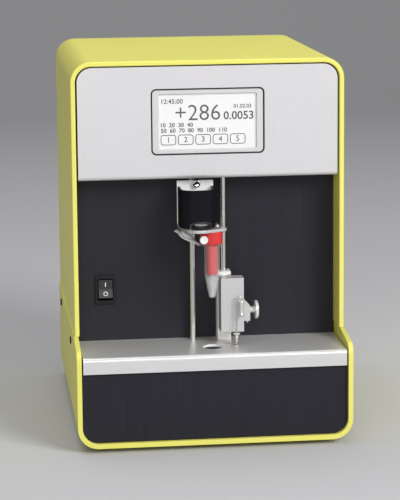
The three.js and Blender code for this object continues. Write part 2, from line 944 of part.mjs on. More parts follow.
function makeHeadBush() {
  const low = flangeTop;
  const body = block(
    around(leftRodX, bushWidth),
    [plateSetback + plateSheet, plateSetback + plateSheet + bushDepth],
    [low, low + bushHeight],
  );
  return cut(body, keyedRod(leftRodX, boreGap));
}

function makeHeadCover() {
  const low = flangeTop;
  const high = low + coverHeight;
  const deep = [coverFront, plateSetback + coverRadius];
  const outer = roundedRectangle([coverLeft, coverRight], deep, coverRadius);
  const inner = roundedRectangle(
    [coverLeft + coverWall, coverRight - coverWall],
    [coverFront + coverWall, plateSetback + coverRadius + cutOverrun],
    coverRadius - coverWall,
  );
  const arch = new THREE.Shape();
  arch.moveTo(motorX - archWidth / 2, low - cutOverrun);
  arch.lineTo(motorX + archWidth / 2, low - cutOverrun);
  const archLeft = motorX - archWidth / 2;
  const archRight = motorX + archWidth / 2;
  arch.lineTo(archRight, low + archHeight / 2);
  arch.quadraticCurveTo(archRight, low + archHeight, motorX, low + archHeight);
  arch.quadraticCurveTo(archLeft, low + archHeight, archLeft, low + archHeight / 2);
  const back = [plateSetback - panelGap, plateSetback + coverRadius + cutOverrun];
  return cut(
    prismZ(outer, [low, high]),
    prismZ(inner, [low - cutOverrun, high + cutOverrun]),
    prismY(arch, [coverFront - cutOverrun, coverFront + coverRadius]),
    block([coverLeft - cutOverrun, coverRight + cutOverrun], back, [low - cutOverrun, high + cutOverrun]),
  );
}

function makeMotorBase() {
  return barZ(motorX, motorSetback, [flangeTop, flangeTop + motorHeight], motorRadius);
}

function makeMotorCap() {
  const low = flangeTop + motorHeight;
  return turned(
    [
      [0, low],
      [motorCapRadius, low],
      [motorCapRadius, low + motorCapHeight],
      [motorCapRadius - motorCapRim, low + motorCapHeight],
      [motorCapRadius - 2 * motorCapRim, low + motorCapHeight - motorCapDish],
      [0, low + motorCapHeight - motorCapDish],
    ],
    motorX,
    motorSetback,
  );
}

function makePlateScrew() {
  const z = flangeTop + plateHeight - plateScrewDrop;
  const face = plateSetback - socketHeadHeight;
  return cut(
    barY(plateScrewX, [face, plateSetback], z, socketHeadRadius),
    barY(plateScrewX, [face - cutOverrun, face + socketDepth], z, socketRadius, 6),
  );
}

function makeTabScrew() {
  const top = flangeTop + tabScrewHeight;
  return cut(
    barZ(tabScrewX, tabScrewSetback, [flangeTop, top], tabScrewRadius, smallSides),
    block(
      around(tabScrewX, 4 * tabScrewRadius),
      around(tabScrewSetback, tabScrewSlot),
      [top - tabScrewHeight / 2, top + cutOverrun],
    ),
  );
}

// The collar grips the probe; its ear at the left front takes the clamp screw
function makeCollar() {
  const ear = block(
    around(earX, earWidth),
    [earFront, earBack],
    around(rimTop + clampRise, earHeight),
  );
  const bore = barY(
    earX,
    [earFront - cutOverrun, earFront + clampShankLength + boreGap],
    rimTop + clampRise,
    clampShankRadius + boreGap,
    smallSides,
  );
  return cut(join(barZ(tubeX, tubeSetback, [rimTop, flangeUnder], collarRadius), ear), bore);
}

function makeClampScrew() {
  const z = rimTop + clampRise;
  return join(
    barY(earX, [earFront - clampHeadHeight, earFront], z, clampHeadRadius),
    barY(earX, [earFront - clampHeadHeight, earFront + clampShankLength], z, clampShankRadius, smallSides),
  );
}

function makeProbeSleeve() {
  const low = rimTop - sleeveLength;
  return cut(
    barZ(tubeX, tubeSetback, [low, rimTop], sleeveRadius),
    barZ(tubeX, tubeSetback, [low - cutOverrun, rimTop - sleeveWall], sleeveRadius - sleeveWall),
  );
}

function makeProbe() {
  const top = rimTop - sleeveWall;
  return turned(
    [
      [0, top - probeLength],
      [probeRadius, top - probeLength + probeRadius],
      [probeRadius, top],
      [0, top],
    ],
    tubeX,
    tubeSetback,
    smallSides,
  );
}

// The tube is drawn on the Z axis with its ear to the left, then turned so that the ear points back-left
function makeSampleTube() {
  const tip = rimTop - tubeLength;
  const inner = tubeRadius - tubeWall;
  const body = turned(
    [
      [0, tip],
      [tubeTipRadius - tubeTipRound / 2, tip],
      [tubeTipRadius, tip + tubeTipRound],
      [tubeRadius, tip + tubeConeLength],
      [tubeRadius, rimTop - tubeRimHeight],
      [tubeRimRadius, rimTop - tubeRimHeight],
      [tubeRimRadius, rimTop],
      [inner, rimTop],
      [inner, tip + tubeConeLength],
      [tubeTipRadius - tubeWall, tip + tubeTipRound],
      [tubeTipRadius - tubeTipRound, tip + tubeWall],
      [0, tip + tubeWall],
    ],
    0,
    0,
  );
  const ear = cut(
    block(
      [-tubeRimRadius - tabletReach, 0],
      around(0, tabletWidth),
      [rimTop - tubeRimHeight, rimTop - tubeRimHeight + tabletSheet],
    ),
    barZ(0, 0, [rimTop - tubeLength, rimTop + cutOverrun], (inner + tubeRimRadius) / 2),
  );
  return join(body, ear).rotateZ(-lidBearing).translate(tubeX, tubeSetback, 0);
}

// The lid is drawn flat, reaching left from its hinge line, and its group turns it and tilts it up
function makeLid() {
  const centre = -(hingeSlack + lidStrap + lidRadius);
  const disc = barZ(centre, 0, [0, lidSheet], lidRadius);
  const strap = block([centre, -hingeSlack], around(0, tabletWidth), [0, tabletSheet]);
  const tab = block([centre - lidRadius - lidTab, centre], around(0, lidTabWidth), [0, tabletSheet]);
  const plug = cut(
    barZ(centre, 0, [lidSheet / 2, lidSheet + plugHeight], plugRadius),
    barZ(centre, 0, [lidSheet, lidSheet + plugHeight + cutOverrun], plugRadius - plugWall),
  );
  return join(disc, strap, tab, plug);
}

add('head_bracket', makeHeadBracket(), satinAluminium(), measuringHead);
add('head_bush', makeHeadBush(), satinAluminium(), measuringHead);
add('head_cover', makeHeadCover(), blackPlastic(), measuringHead);
add('motor_base', makeMotorBase(), blackPlastic(), measuringHead);
add('motor_cap', makeMotorCap(), chrome(), measuringHead);
add('plate_screw', makePlateScrew(), chrome(), measuringHead);
add('tab_screw', makeTabScrew(), chrome(), measuringHead);
add('probe_collar', makeCollar(), redPlastic(), measuringHead);
add('clamp_screw', makeClampScrew(), whitePlastic(), measuringHead);
add('probe_sleeve', makeProbeSleeve(), redPlastic(), measuringHead);
add('thermistor_probe', makeProbe(), steel(), measuringHead);
add('sample_tube', makeSampleTube(), clearPlastic(), measuringHead);
add('tube_lid', makeLid(), clearPlastic(), openLid);
openLid.position.set(
  tubeX - hingeReach * Math.cos(lidBearing),
  tubeSetback + hingeReach * Math.sin(lidBearing),
  rimTop - tubeRimHeight,
);
openLid.rotation.order = 'ZYX';
openLid.rotation.y = THREE.MathUtils.degToRad(lidAngle);
openLid.rotation.z = -lidBearing;

// Needle carriage: a post round the right rod, and a block that slides on the post's rail

const blockLow = shelfTop + blockRise;
const blockLeft = rightRodX - postWidth / 2 + blockLeftGap;
const blockRight = blockLeft + blockWidth;

function makePost() {
  const high = shelfTop + postHeight;
  const post = block(around(rightRodX, postWidth), [postFront, postFront + postDepth], [shelfTop, high]);
  const rail = [shelfTop + railStart, blockLow + blockHeight - railShort];
  const neckRange = [postFront - railNeckDepth, rodSetback - rodRadius];
  const neck = block(around(rightRodX, railNeck), neckRange, rail);
  const headFront = postFront - railNeckDepth - railHeadDepth;
  const head = block(around(rightRodX, railHead), [headFront, postFront - railNeckDepth], rail);
  return cut(
    join(post, neck, head),
    barZ(rightRodX, rodSetback, [shelfTop - cutOverrun, high + cutOverrun], rodRadius + boreGap),
  );
}

function makeNeedleBlock() {
  const height = [blockLow, blockLow + blockHeight];
  const tall = [blockLow - cutOverrun, blockLow + blockHeight + cutOverrun];
  const face = block([blockLeft, blockRight], [blockFront, blockFront + blockThickness], height);
  const saddle = block([blockLeft, rightRodX + postWidth / 2], [blockFront, postFront - slideGap], height);
  const headFront = postFront - railNeckDepth - railHeadDepth;
  const headSlot = block(
    around(rightRodX, railHead + 2 * slideGap),
    [headFront - slideGap, postFront - railNeckDepth + slideGap],
    tall,
  );
  const neckSlot = block(around(rightRodX, railNeck + 2 * slideGap), [headFront, postFront], tall);
  const behind = [postFront - slideGap, postFront + blockThickness];
  const postSlot = block(around(rightRodX, postWidth + 2 * slideGap), behind, tall);
  return cut(join(face, saddle), headSlot, neckSlot, postSlot);
}

// The clamp arm at the block's right side, with a sloped top
function makeNeedleArm() {
  const low = shelfTop + armRise;
  const outline = polygon([
    [blockRight, low],
    [blockRight + armReach, low],
    [blockRight + armReach, low + armHeight],
    [blockRight, low + armHeight + armSlope],
  ]);
  const middle = armSetback + armThickness / 2;
  return cut(
    prismY(outline, [armSetback, armSetback + armThickness]),
    barX(
      [blockRight + armReach - screwCoreLength - boreGap, blockRight + armReach + cutOverrun],
      middle,
      low + armHeight * screwShare,
      screwCoreRadius + boreGap,
      smallSides,
    ),
    barZ(
      blockRight + armReach * setScrewShare,
      middle,
      [low - cutOverrun, low + setScrewLength - setScrewShown + boreGap],
      setScrewRadius + boreGap,
      smallSides,
    ),
  );
}

// A chrome chuck with a ball at each end, on a short stub from the block's face
function makeChuck() {
  const x = needleX + chuckSpread;
  const low = shelfTop + chuckRise;
  const lowBall = new THREE.SphereGeometry(chuckBall, smallSides, smallSides / 2);
  const highBall = lowBall.clone();
  lowBall.translate(x, needleSetback, low + chuckBall);
  highBall.translate(x, needleSetback, low + chuckLength - chuckBall);
  return join(
    lowBall,
    highBall,
    barZ(x, needleSetback, [low + chuckBall, low + chuckLength - chuckBall], chuckWaist, smallSides),
    barY(x, [needleSetback, blockFront], low + chuckLength / 2, chuckStub, smallSides),
  );
}

// The needle rises in front of the block, turns over in a half circle and comes down on the chuck
class NeedlePath extends THREE.Curve {
  constructor(low, bend) {
    super();
    this.low = low;
    this.bend = bend;
    this.radius = chuckSpread / 2;
  }

  getPoint(share, target = new THREE.Vector3()) {
    const straight = this.bend - this.low;
    const total = straight + Math.PI * this.radius;
    const along = share * total;
    if (along <= straight) {
      return target.set(needleX, needleSetback, this.low + along);
    }
    const angle = (along - straight) / this.radius;
    return target.set(
      needleX + this.radius * (1 - Math.cos(angle)),
      needleSetback,
      this.bend + this.radius * Math.sin(angle),
    );
  }
}

function makeNeedle() {
  const low = shelfTop + ringHeight + needleLift;
  const bend = shelfTop + chuckRise + chuckLength + nozzleGap;
  const section = new THREE.Shape().absarc(0, 0, needleRadius, 0, 2 * Math.PI);
  const stem = barZ(needleX, needleSetback, [low, bend], needleRadius, needleSides);
  const arc = new THREE.ExtrudeGeometry(section, {
    extrudePath: new NeedlePath(bend - 2 * needleRadius, bend),
    steps: needleSteps,
    curveSegments: needleSides,
    bevelEnabled: false,
  });
  const point = new THREE.ConeGeometry(needleRadius, 2 * needleRadius, needleSides)
    .rotateX(-Math.PI / 2)
    .translate(needleX, needleSetback, low - needleRadius);
  return join(stem, arc, point);
}

// The guide under the block: a cone, a bead and a disc on the needle's line
function makeNozzle() {
  const top = blockLow - nozzleGap;
  const bore = needleRadius + boreGap;
  const waist = nozzleWaist + bore / 2;
  const bead = [nozzleBead, nozzleBead];
  const radii = [nozzleRadius, waist, ...bead, waist, ...bead, waist + bore / 2];
  const outer = radii.map((radius, index) => [radius, top - nozzleLength * nozzleShares[index]]);
  const profile = [[bore, top], [nozzleRadius, top], ...outer, [bore, top - nozzleLength], [bore, top]];
  return turned(profile.reverse(), needleX, needleSetback, smallSides);
}

function makeThumbScrew() {
  const start = blockRight + armReach;
  const y = armSetback + armThickness / 2;
  const z = shelfTop + armRise + armHeight * screwShare;
  const knobStart = start + screwShaftLength;
  const profile = [
    [0, -screwCoreLength],
    [screwCoreRadius, -screwCoreLength],
    [screwCoreRadius, 0],
    [screwShaftRadius, 0],
    [screwShaftRadius, knobStart - start],
    [knobRadius - knobRound, knobStart - start],
    [knobRadius, knobStart - start + knobRound],
    [knobRadius, knobStart - start + knobThickness - knobDome - knobRound],
    [knobRadius - knobRound, knobStart - start + knobThickness - knobDome],
    [knobRadius / 2, knobStart - start + knobThickness - knobDome / 4],
    [0, knobStart - start + knobThickness],
  ].map(([radius, height]) => new THREE.Vector2(radius, height));
  return new THREE.LatheGeometry(profile, roundSides).rotateZ(-Math.PI / 2).translate(start, y, z);
}

function makeSetScrew() {
  const low = shelfTop + armRise - setScrewShown;
  const x = blockRight + armReach * setScrewShare;
  return barZ(x, armSetback + armThickness / 2, [low, low + setScrewLength], setScrewRadius, smallSides);
}

function makeNeedleRing() {
  return cut(
    barZ(needleX, needleSetback, [shelfTop, shelfTop + ringHeight], ringRadius, smallSides),
    barZ(needleX, needleSetback, [shelfTop - cutOverrun, shelfTop + cutOverrun], ringBore, smallSides),
  );
}

add('needle_post', makePost(), satinAluminium());
add('needle_block', makeNeedleBlock(), satinAluminium(), needleCarriage);
add('needle_arm', makeNeedleArm(), satinAluminium(), needleCarriage);
add('needle_chuck', makeChuck(), chrome(), needleCarriage);
add('needle', makeNeedle(), steel(), needleCarriage);
add('needle_nozzle', makeNozzle(), steel(), needleCarriage);
add('thumb_screw', makeThumbScrew(), chrome(), needleCarriage);
add('set_screw', makeSetScrew(), steel(), needleCarriage);
add('needle_ring', makeNeedleRing(), steel());

// Cooler: cold block with the tube's well, thermoelectric plate and heat sink

function makeColdBlock() {
  const low = coldTop - coldBoreDepth;
  const well = turned(
    [
      [0, low - coldTipDepth],
      [coldBoreTip, low - coldTipDepth],
      [coldBoreRadius, low],
      [coldBoreRadius, coldTop + cutOverrun],
      [0, coldTop + cutOverrun],
    ],
    tubeX,
    tubeSetback,
  );
  return cut(
    block([coldLeft, coldRight], [coldFront, coldBack], [coldUnder, coldTop]),
    well,
    barZ(needleX, needleSetback, [coldTop - coldNeedleDepth, coldTop + cutOverrun], ringBore, smallSides),
  );
}

function makeCoolerPlate() {
  return block(
    [coldLeft + peltierMargin, coldRight - peltierMargin],
    [coldFront + peltierMargin / 2, coldBack - peltierMargin / 2],
    [sinkTop, coldUnder],
  );
}

function makeHeatSink() {
  const left = (coldLeft + coldRight - sinkWidth) / 2;
  const depth = [sinkFront, sinkFront + sinkDepth];
  const pieces = [block([left, left + sinkWidth], depth, [sinkTop - sinkBase, sinkTop])];
  const pitch = (sinkWidth - sinkFin) / (sinkFins - 1);
  for (let fin = 0; fin < sinkFins; fin += 1) {
    const x = left + fin * pitch;
    pieces.push(block([x, x + sinkFin], depth, [floorTop + chassisSheet, sinkTop - sinkBase / 2]));
  }
  return join(...pieces);
}

add('cold_block', makeColdBlock(), satinAluminium());
add('cooler_plate', makeCoolerPlate(), whitePlastic());
add('heat_sink', makeHeatSink(), satinAluminium());

// Mains switch in the bay panel

const pivotY = bayDepth + rockerPivot;

function makeSwitchBody() {
  const bezel = prismY(
    roundedRectangle(around(switchX, switchWidth), around(switchCentre, switchHeight), switchBezel / 2),
    [bayDepth - switchBezel, bayDepth],
  );
  const body = block(
    around(switchX, switchBodyWidth),
    [bayDepth - switchBezel / 2, bayDepth + switchBodyDepth],
    around(switchCentre, switchBodyHeight),
  );
  const tilt = THREE.MathUtils.degToRad(rockerAngle);
  const swing = rockerHalfHeight * Math.cos(tilt) + rockerEnd * Math.sin(tilt) + rockerGap;
  const tailSwing = rockerTail + rockerTailHalf * Math.sin(tilt) + rockerGap;
  const pocket = block(
    around(switchX, switchWidth - 2 * switchRim),
    [bayDepth - switchBezel - cutOverrun, pivotY + tailSwing + rockerHalfHeight * Math.sin(tilt)],
    around(switchCentre, 2 * swing),
  );
  return cut(join(bezel, body), pocket);
}

// The rocker's side outline is drawn about its pivot; its group stands at the pivot, pressed in at the top
function makeRocker() {
  const outline = polygon([
    [-rockerEnd, rockerHalfHeight],
    [-rockerMiddle, 0],
    [-rockerEnd, -rockerHalfHeight],
    [0, -rockerHalfHeight + rockerGap],
    [rockerTail, -rockerTailHalf],
    [rockerTail, rockerTailHalf],
    [0, rockerHalfHeight - rockerGap],
  ]);
  const half = switchWidth / 2 - switchRim - rockerGap;
  return prismX(outline, [-half, half]);
}

add('switch_body', makeSwitchBody(), blackPlastic());
add('switch_rocker', makeRocker(), blackPlastic(), rocker);
rocker.position.set(switchX, pivotY, switchCentre);
rocker.rotation.x = THREE.MathUtils.degToRad(-rockerAngle);

// Rear fittings

const inletCentre = shellBottom + inletRise + inletHeight / 2;
const inletLow = inletCentre - inletBodyHeight / 2;
const drawerLow = inletLow + drawerLift;

function makeInlet() {
  const back = rearFace + inletFlange;
  const body = join(
    block(around(inletX, inletWidth), [rearFace, back], around(inletCentre, inletHeight)),
    block(around(inletX, inletBodyWidth), [back - inletBodyDepth, rearFace + inletFlange / 2], [
      inletLow,
      inletLow + inletBodyHeight,
    ]),
  );
  const recess = block(around(inletX, socketWidth), [back - socketRecess, back + cutOverrun], [
    inletLow + socketLift,
    inletLow + socketLift + socketHeight,
  ]);
  const bay = block(
    around(inletX, drawerWidth + 2 * slideGap),
    [back - drawerDepth - slideGap, back + cutOverrun],
    [drawerLow - slideGap, drawerLow + drawerHeight + slideGap],
  );
  const pins = [];
  for (const [x, lift] of [[-pinSpacing / 2, 0], [0, pinRise], [pinSpacing / 2, 0]]) {
    pins.push(block(
      around(inletX + x, pinWidth),
      [back - socketRecess - slideGap, back - socketRecess + pinLength],
      around(inletLow + socketLift + socketHeight / 2 - pinRise / 2 + lift, pinHeight),
    ));
  }
  return join(cut(body, recess, bay), ...pins);
}

function makeFuseDrawer() {
  const back = rearFace + inletFlange;
  const height = [drawerLow, drawerLow + drawerHeight];
  const body = block(around(inletX, drawerWidth), [back - drawerDepth, back], height);
  const hollow = block(
    around(inletX, drawerWidth - 2 * drawerSheet),
    [back - drawerDepth + drawerSheet, back - drawerSheet],
    [drawerLow + drawerSheet, drawerLow + drawerHeight + cutOverrun],
  );
  const lip = block(around(inletX, drawerWidth / 2), [back - drawerSheet, back + drawerProud], [
    drawerLow,
    drawerLow + drawerSheet,
  ]);
  return join(cut(body, hollow), lip);
}

function makeSerialPort() {
  const z = shellBottom + serialRise;
  const shell = [rearFront - serialFlange, rearFace + serialShellProud];
  const body = [rearFront - serialFlange - serialBodyDepth, rearFront];
  return join(
    block(around(serialX, serialShellWidth), shell, around(z, serialShellHeight)),
    block(around(serialX, serialWidth), body, around(z, serialHeight)),
  );
}

function makeFanFrame() {
  const z = shellBottom + fanRise;
  const depth = [rearFront - fanDepth, rearFront];
  const outline = roundedRectangle(around(fanX, fanSize), around(z, fanSize), fanSpider);
  const through = [depth[0] - cutOverrun, depth[1] + cutOverrun];
  const ring = cut(prismY(outline, depth), barY(fanX, through, z, fanBore, wideSides));
  const web = [depth[0], depth[0] + fanSpiderDepth];
  const spider = block(around(fanX, fanSize - fanSpider), web, around(z, fanSpider));
  const mast = block(around(fanX, fanSpider), web, around(z, fanSize - fanSpider));
  const axleRange = [depth[0], web[1] + fanHubDepth / 2];
  const axle = barY(fanX, axleRange, z, fanAxleRadius, smallSides);
  return join(ring, spider, mast, axle);
}

function makeFanRotor() {
  const z = shellBottom + fanRise;
  const front = rearFront - fanDepth + fanSpiderDepth + slideGap;
  const hub = barY(0, [0, fanHubDepth - slideGap * 2], 0, fanHub);
  const blades = [];
  for (let blade = 0; blade < fanBlades; blade += 1) {
    const wing = block(
      around(0, fanBladeSheet),
      around(0, fanBladeWidth),
      [fanHub - fanBladeSheet, fanHub + fanBladeLength - 2 * slideGap],
    );
    wing.rotateZ(THREE.MathUtils.degToRad(fanBladePitch));
    wing.rotateY((2 * Math.PI * blade) / fanBlades);
    blades.push(wing.translate(0, fanHubDepth / 2 - slideGap, 0));
  }
  const bore = barY(0, [-cutOverrun, fanHubDepth / 2], 0, fanAxleRadius + slideGap, smallSides);
  return cut(join(hub, ...blades), bore).translate(fanX, front, z);
}

add('mains_inlet', makeInlet(), blackPlastic());
add('fuse_drawer', makeFuseDrawer(), blackPlastic());
add('serial_port', makeSerialPort(), zinc());
add('fan_frame', makeFanFrame(), blackPlastic());
add('fan_rotor', makeFanRotor(), blackPlastic());

// Power supply and main board on the chassis floor

function makePowerSupply() {
  const low = floorTop + chassisSheet;
  const legs = [];
  for (const x of [supplyLeft + standoffRadius, supplyRight - standoffRadius]) {
    for (const y of [supplyFront + standoffRadius, supplyBack - standoffRadius]) {
      legs.push(barZ(x, y, [low, low + supplyStandoff + boardSheet], standoffRadius, smallSides));
    }
  }
  const height = [low + supplyStandoff, low + supplyStandoff + supplyHeight];
  return join(block([supplyLeft, supplyRight], [supplyFront, supplyBack], height), ...legs);
}

function makeMainBoard() {
  const low = floorTop + chassisSheet;
  const plate = [low + boardStandoff, low + boardStandoff + boardSheet];
  const pieces = [block([boardLeft, boardRight], [boardFront, boardBack], plate)];
  const inset = 2 * standoffRadius;
  for (const x of [boardLeft + inset, boardRight - inset]) {
    for (const y of [boardFront + inset, boardBack - inset]) {
      pieces.push(barZ(x, y, [low, plate[1]], standoffRadius, smallSides));
    }
  }
  const middle = (boardFront + boardBack) / 2;
  for (let chip = 0; chip < chipCount; chip += 1) {
    const x = (boardLeft + boardRight) / 2 + (chip - (chipCount - 1) / 2) * chipPitch;
    const chipRange = [plate[0], plate[1] + chipHeight];
    const capacitorRange = [plate[0], plate[1] + capacitorHeight];
    pieces.push(block(around(x, chipWidth), around(middle, chipLength), chipRange));
    pieces.push(barZ(x, middle + chipLength, capacitorRange, capacitorRadius, smallSides));
  }
  return join(...pieces);
}

add('power_supply', makePowerSupply(), zinc());
add('main_board', makeMainBoard(), boardGreen());

export default bench;
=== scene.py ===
"""Looks of a bench osmometer for freezing points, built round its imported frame.

Sizes are millimetres. X runs to the right of someone facing the front, Z runs up from the table,
and Y is measured back from the front edge of the base shell. `place` turns such a point into the
frame's metres.
"""

import logging
import math
from dataclasses import dataclass, field
from enum import Enum
from typing import Callable, ClassVar, Iterable, Sequence

import bmesh
import bpy
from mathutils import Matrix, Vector


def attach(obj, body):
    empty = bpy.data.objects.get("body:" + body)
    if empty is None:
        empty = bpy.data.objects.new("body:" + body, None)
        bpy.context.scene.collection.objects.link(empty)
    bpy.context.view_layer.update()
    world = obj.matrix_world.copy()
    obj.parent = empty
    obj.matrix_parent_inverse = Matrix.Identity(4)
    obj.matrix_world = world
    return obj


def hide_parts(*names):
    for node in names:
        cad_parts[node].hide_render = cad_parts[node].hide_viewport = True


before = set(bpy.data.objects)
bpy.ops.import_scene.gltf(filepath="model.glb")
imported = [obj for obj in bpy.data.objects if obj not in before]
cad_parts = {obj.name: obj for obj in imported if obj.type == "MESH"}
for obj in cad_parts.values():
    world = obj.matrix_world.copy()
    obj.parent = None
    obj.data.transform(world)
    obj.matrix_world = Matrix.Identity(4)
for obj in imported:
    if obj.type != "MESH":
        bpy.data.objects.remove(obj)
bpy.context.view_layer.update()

LOG = logging.getLogger("osmometer")
MM = 0.001
HALF_DEPTH = 120.0
OVERRUN = 5.0
SMOOTH_ANGLE = math.radians(40)
DIGIT_SHARE = 0.73  # The share of a font's size that a digit is high.
WELD_REACH = 0.00001  # How near points count as one, in metres.
SIDES = ((-1, "left"), (1, "right"))
GLOSS_SCALE = 40.0
CLOUD_SCALE = 250.0
RIM_START, RIM_END = 0.35, 0.95
MIX_FIRST, MIX_SECOND, MIX_RESULT = 6, 7, 2  # The colour sockets of a Mix node.

Span = tuple[float, float]
Point = tuple[float, float, float]
Colour = tuple[float, float, float]
Piece = bpy.types.Object


class Axis(Enum):
    """The direction that a round or extruded piece runs in."""

    X = 0
    Y = 1
    Z = 2

    def turn(self) -> Point:
        """Gives the turn of a piece that is made upright.

        Returns:
            The rotation that brings local Z to this direction.
        """
        return {
            Axis.X: (0.0, math.pi / 2, 0.0),
            Axis.Y: (-math.pi / 2, 0.0, 0.0),
            Axis.Z: (0.0, 0.0, 0.0),
        }[self]

    def unit(self) -> Vector:
        """Returns the unit vector of this direction."""
        return Vector([1.0 if index == self.value else 0.0 for index in range(3)])


class Body(Enum):
    """The bodies of the frame that pieces ride on."""

    CABINET = "cabinet"
    HEAD = "measuring_head"
    LID = "lid"
    CLAMP = "probe_clamp"
    CARRIAGE = "needle_carriage"
    THUMB = "thumb"
    ROCKER = "rocker"
    TRAY = "fuse_tray"


def place(point: Sequence[float]) -> Vector:
    """Turns a drawing point into the frame.

    Args:
        point: X, Y from the base shell's front edge and Z from the table, in millimetres.

    Returns:
        The same point in the row frame, in metres.
    """
    return Vector((point[0], point[1] - HALF_DEPTH, point[2])) * MM


def around(centre: float, width: float) -> Span:
    """Returns the span of a width about a centre."""
    return (centre - width / 2, centre + width / 2)


# Modelling


def deselect() -> None:
    """Leaves edit mode and deselects everything."""
    if bpy.context.object and bpy.context.object.mode != "OBJECT":
        bpy.ops.object.mode_set(mode="OBJECT")
    bpy.ops.object.select_all(action="DESELECT")


def take(piece: Piece) -> None:
    """Makes a piece the only selected and the active one.

    Args:
        piece: The piece.
    """
    deselect()
    piece.select_set(True)
    bpy.context.view_layer.objects.active = piece


def settle(name: str) -> Piece:
    """Names the active piece and moves its place, turn and scale into its mesh.

    Args:
        name: The name of the piece.

    Returns:
        The piece, with its object at the origin.
    """
    piece = bpy.context.active_object
    piece.name = name
    piece.data.name = name
    take(piece)
    bpy.ops.object.transform_apply(location=True, rotation=True, scale=True)
    return piece


def apply_modifier(piece: Piece, kind: str, **settings: object) -> None:
    """Adds a modifier with settings to a piece and applies it.

    Args:
        piece: The piece.
        kind: The kind of modifier.
        settings: The modifier's own settings.
    """
    take(piece)
    bpy.ops.object.modifier_add(type=kind)
    modifier = piece.modifiers[-1]
    for key, value in settings.items():
        setattr(modifier, key, value)
    bpy.ops.object.modifier_apply(modifier=modifier.name)


def block(name: str, x: Span, y: Span, z: Span) -> Piece:
    """Adds a box between three spans.

    Args:
        name: The name of the piece.
        x: The span to the right.
        y: The span back.
        z: The span up.

    Returns:
        The piece.
    """
    deselect()
    centre = [(span[0] + span[1]) / 2 for span in (x, y, z)]
    bpy.ops.mesh.primitive_cube_add(size=MM, location=place(centre))
    bpy.context.active_object.scale = [span[1] - span[0] for span in (x, y, z)]
    return settle(name)


def drum(name: str, axis: Axis, centre: Point, span: Span, radius: float, sides: int = 48) -> Piece:
    """Adds a cylinder along an axis.

    Args:
        name: The name of the piece.
        axis: The direction that it runs in.
        centre: A point on its axis; the part along the axis isn't used.
        span: Its ends along the axis.
        radius: Its radius.
        sides: The number of flats round it.

    Returns:
        The piece.
    """
    deselect()
    middle = list(centre)
    middle[axis.value] = (span[0] + span[1]) / 2
    bpy.ops.mesh.primitive_cylinder_add(
        vertices=sides,
        radius=radius * MM,
        depth=(span[1] - span[0]) * MM,
        location=place(middle),
        rotation=axis.turn(),
    )
    return settle(name)


def edit(piece: Piece, mode: str = "FACE") -> bmesh.types.BMesh:
    """Enters edit mode on a piece with nothing selected.

    Args:
        piece: The piece to edit.
        mode: VERT, EDGE or FACE.

    Returns:
        Its edit mesh.
    """
    take(piece)
    bpy.ops.object.mode_set(mode="EDIT")
    bpy.ops.mesh.select_mode(type=mode)
    bpy.ops.mesh.select_all(action="DESELECT")
    return bmesh.from_edit_mesh(piece.data)


def leave() -> None:
    """Goes back to object mode."""
    bpy.ops.object.mode_set(mode="OBJECT")


def face_out() -> None:
    """Turns all faces of the piece in edit mode outwards and goes back to object mode."""
    bpy.ops.mesh.select_all(action="SELECT")
    bpy.ops.mesh.normals_make_consistent(inside=False)
    leave()


def beyond(span: Span) -> Span:
    """Returns a span that runs past both ends of another, for a tool that cuts through."""
    return (span[0] - OVERRUN, span[1] + OVERRUN)


def turned(
    name: str, axis: Axis, foot: Point, profile: Sequence[Span], sides: int = 48
) -> Piece:
    """Draws a round piece out of a disc, ring by ring along its axis.

    Args:
        name: The name of the piece.
        axis: The direction that it is drawn in.
        foot: The point on the axis that heights are measured from.
        profile: Radius and height of each ring, from the first disc to the last.
        sides: The number of flats round it.

    Returns:
        The closed piece, with its faces pointing out.
    """
    deselect()
    start = Vector(foot) + axis.unit() * profile[0][1]
    bpy.ops.mesh.primitive_circle_add(
        vertices=sides,
        radius=profile[0][0] * MM,
        fill_type="NGON",
        location=place(start),
        rotation=axis.turn(),
    )
    piece = settle(name)
    edit(piece)
    bpy.ops.mesh.select_all(action="SELECT")
    last_radius, last_height = profile[0]
    for radius, height in profile[1:]:
        step = axis.unit() * (height - last_height) * MM
        bpy.ops.mesh.extrude_region_move(TRANSFORM_OT_translate={"value": step})
        if radius == 0:
            bpy.ops.mesh.merge(type="CENTER")
            break
        if radius != last_radius:
            share = radius / last_radius
            scale = [1.0 if index == axis.value else share for index in range(3)]
            centre = place(Vector(foot) + axis.unit() * height)
            bpy.ops.transform.resize(value=scale, center_override=centre)
        last_radius, last_height = radius, height
    face_out()
    return piece


def plate(name: str, axis: Axis, outline: Sequence[Span], span: Span) -> Piece:
    """Cuts a plate of any outline and draws it out along an axis.

    Args:
        name: The name of the piece.
        axis: The direction that it is drawn in.
        outline: Its corners, as the two coordinates other than the axis, in their own order.
        span: Its two faces along the axis.

    Returns:
        The closed piece, with its faces pointing out.
    """
    deselect()
    bpy.ops.mesh.primitive_circle_add(vertices=len(outline), radius=MM, fill_type="NGON")
    piece = settle(name)
    others = [index for index in range(3) if index != axis.value]
    for vertex, corner in zip(piece.data.vertices, outline):
        point = [span[0]] * 3
        point[others[0]], point[others[1]] = corner
        vertex.co = place(point)
    edit(piece)
    bpy.ops.mesh.select_all(action="SELECT")
    step = axis.unit() * (span[1] - span[0]) * MM
    bpy.ops.mesh.extrude_region_move(TRANSFORM_OT_translate={"value": step})
    face_out()
    return piece


def arc(centre: Span, radius: float, start: float, end: float, steps: int) -> list[Span]:
    """Returns points of an arc.

    Args:
        centre: Its centre.
        radius: Its radius.
        start: The first angle in degrees.
        end: The last angle in degrees.
        steps: The number of stretches.

    Returns:
        The points, both ends among them.
    """
    angles = [math.radians(start + (end - start) * step / steps) for step in range(steps + 1)]
    return [(centre[0] + radius * math.cos(a), centre[1] + radius * math.sin(a)) for a in angles]


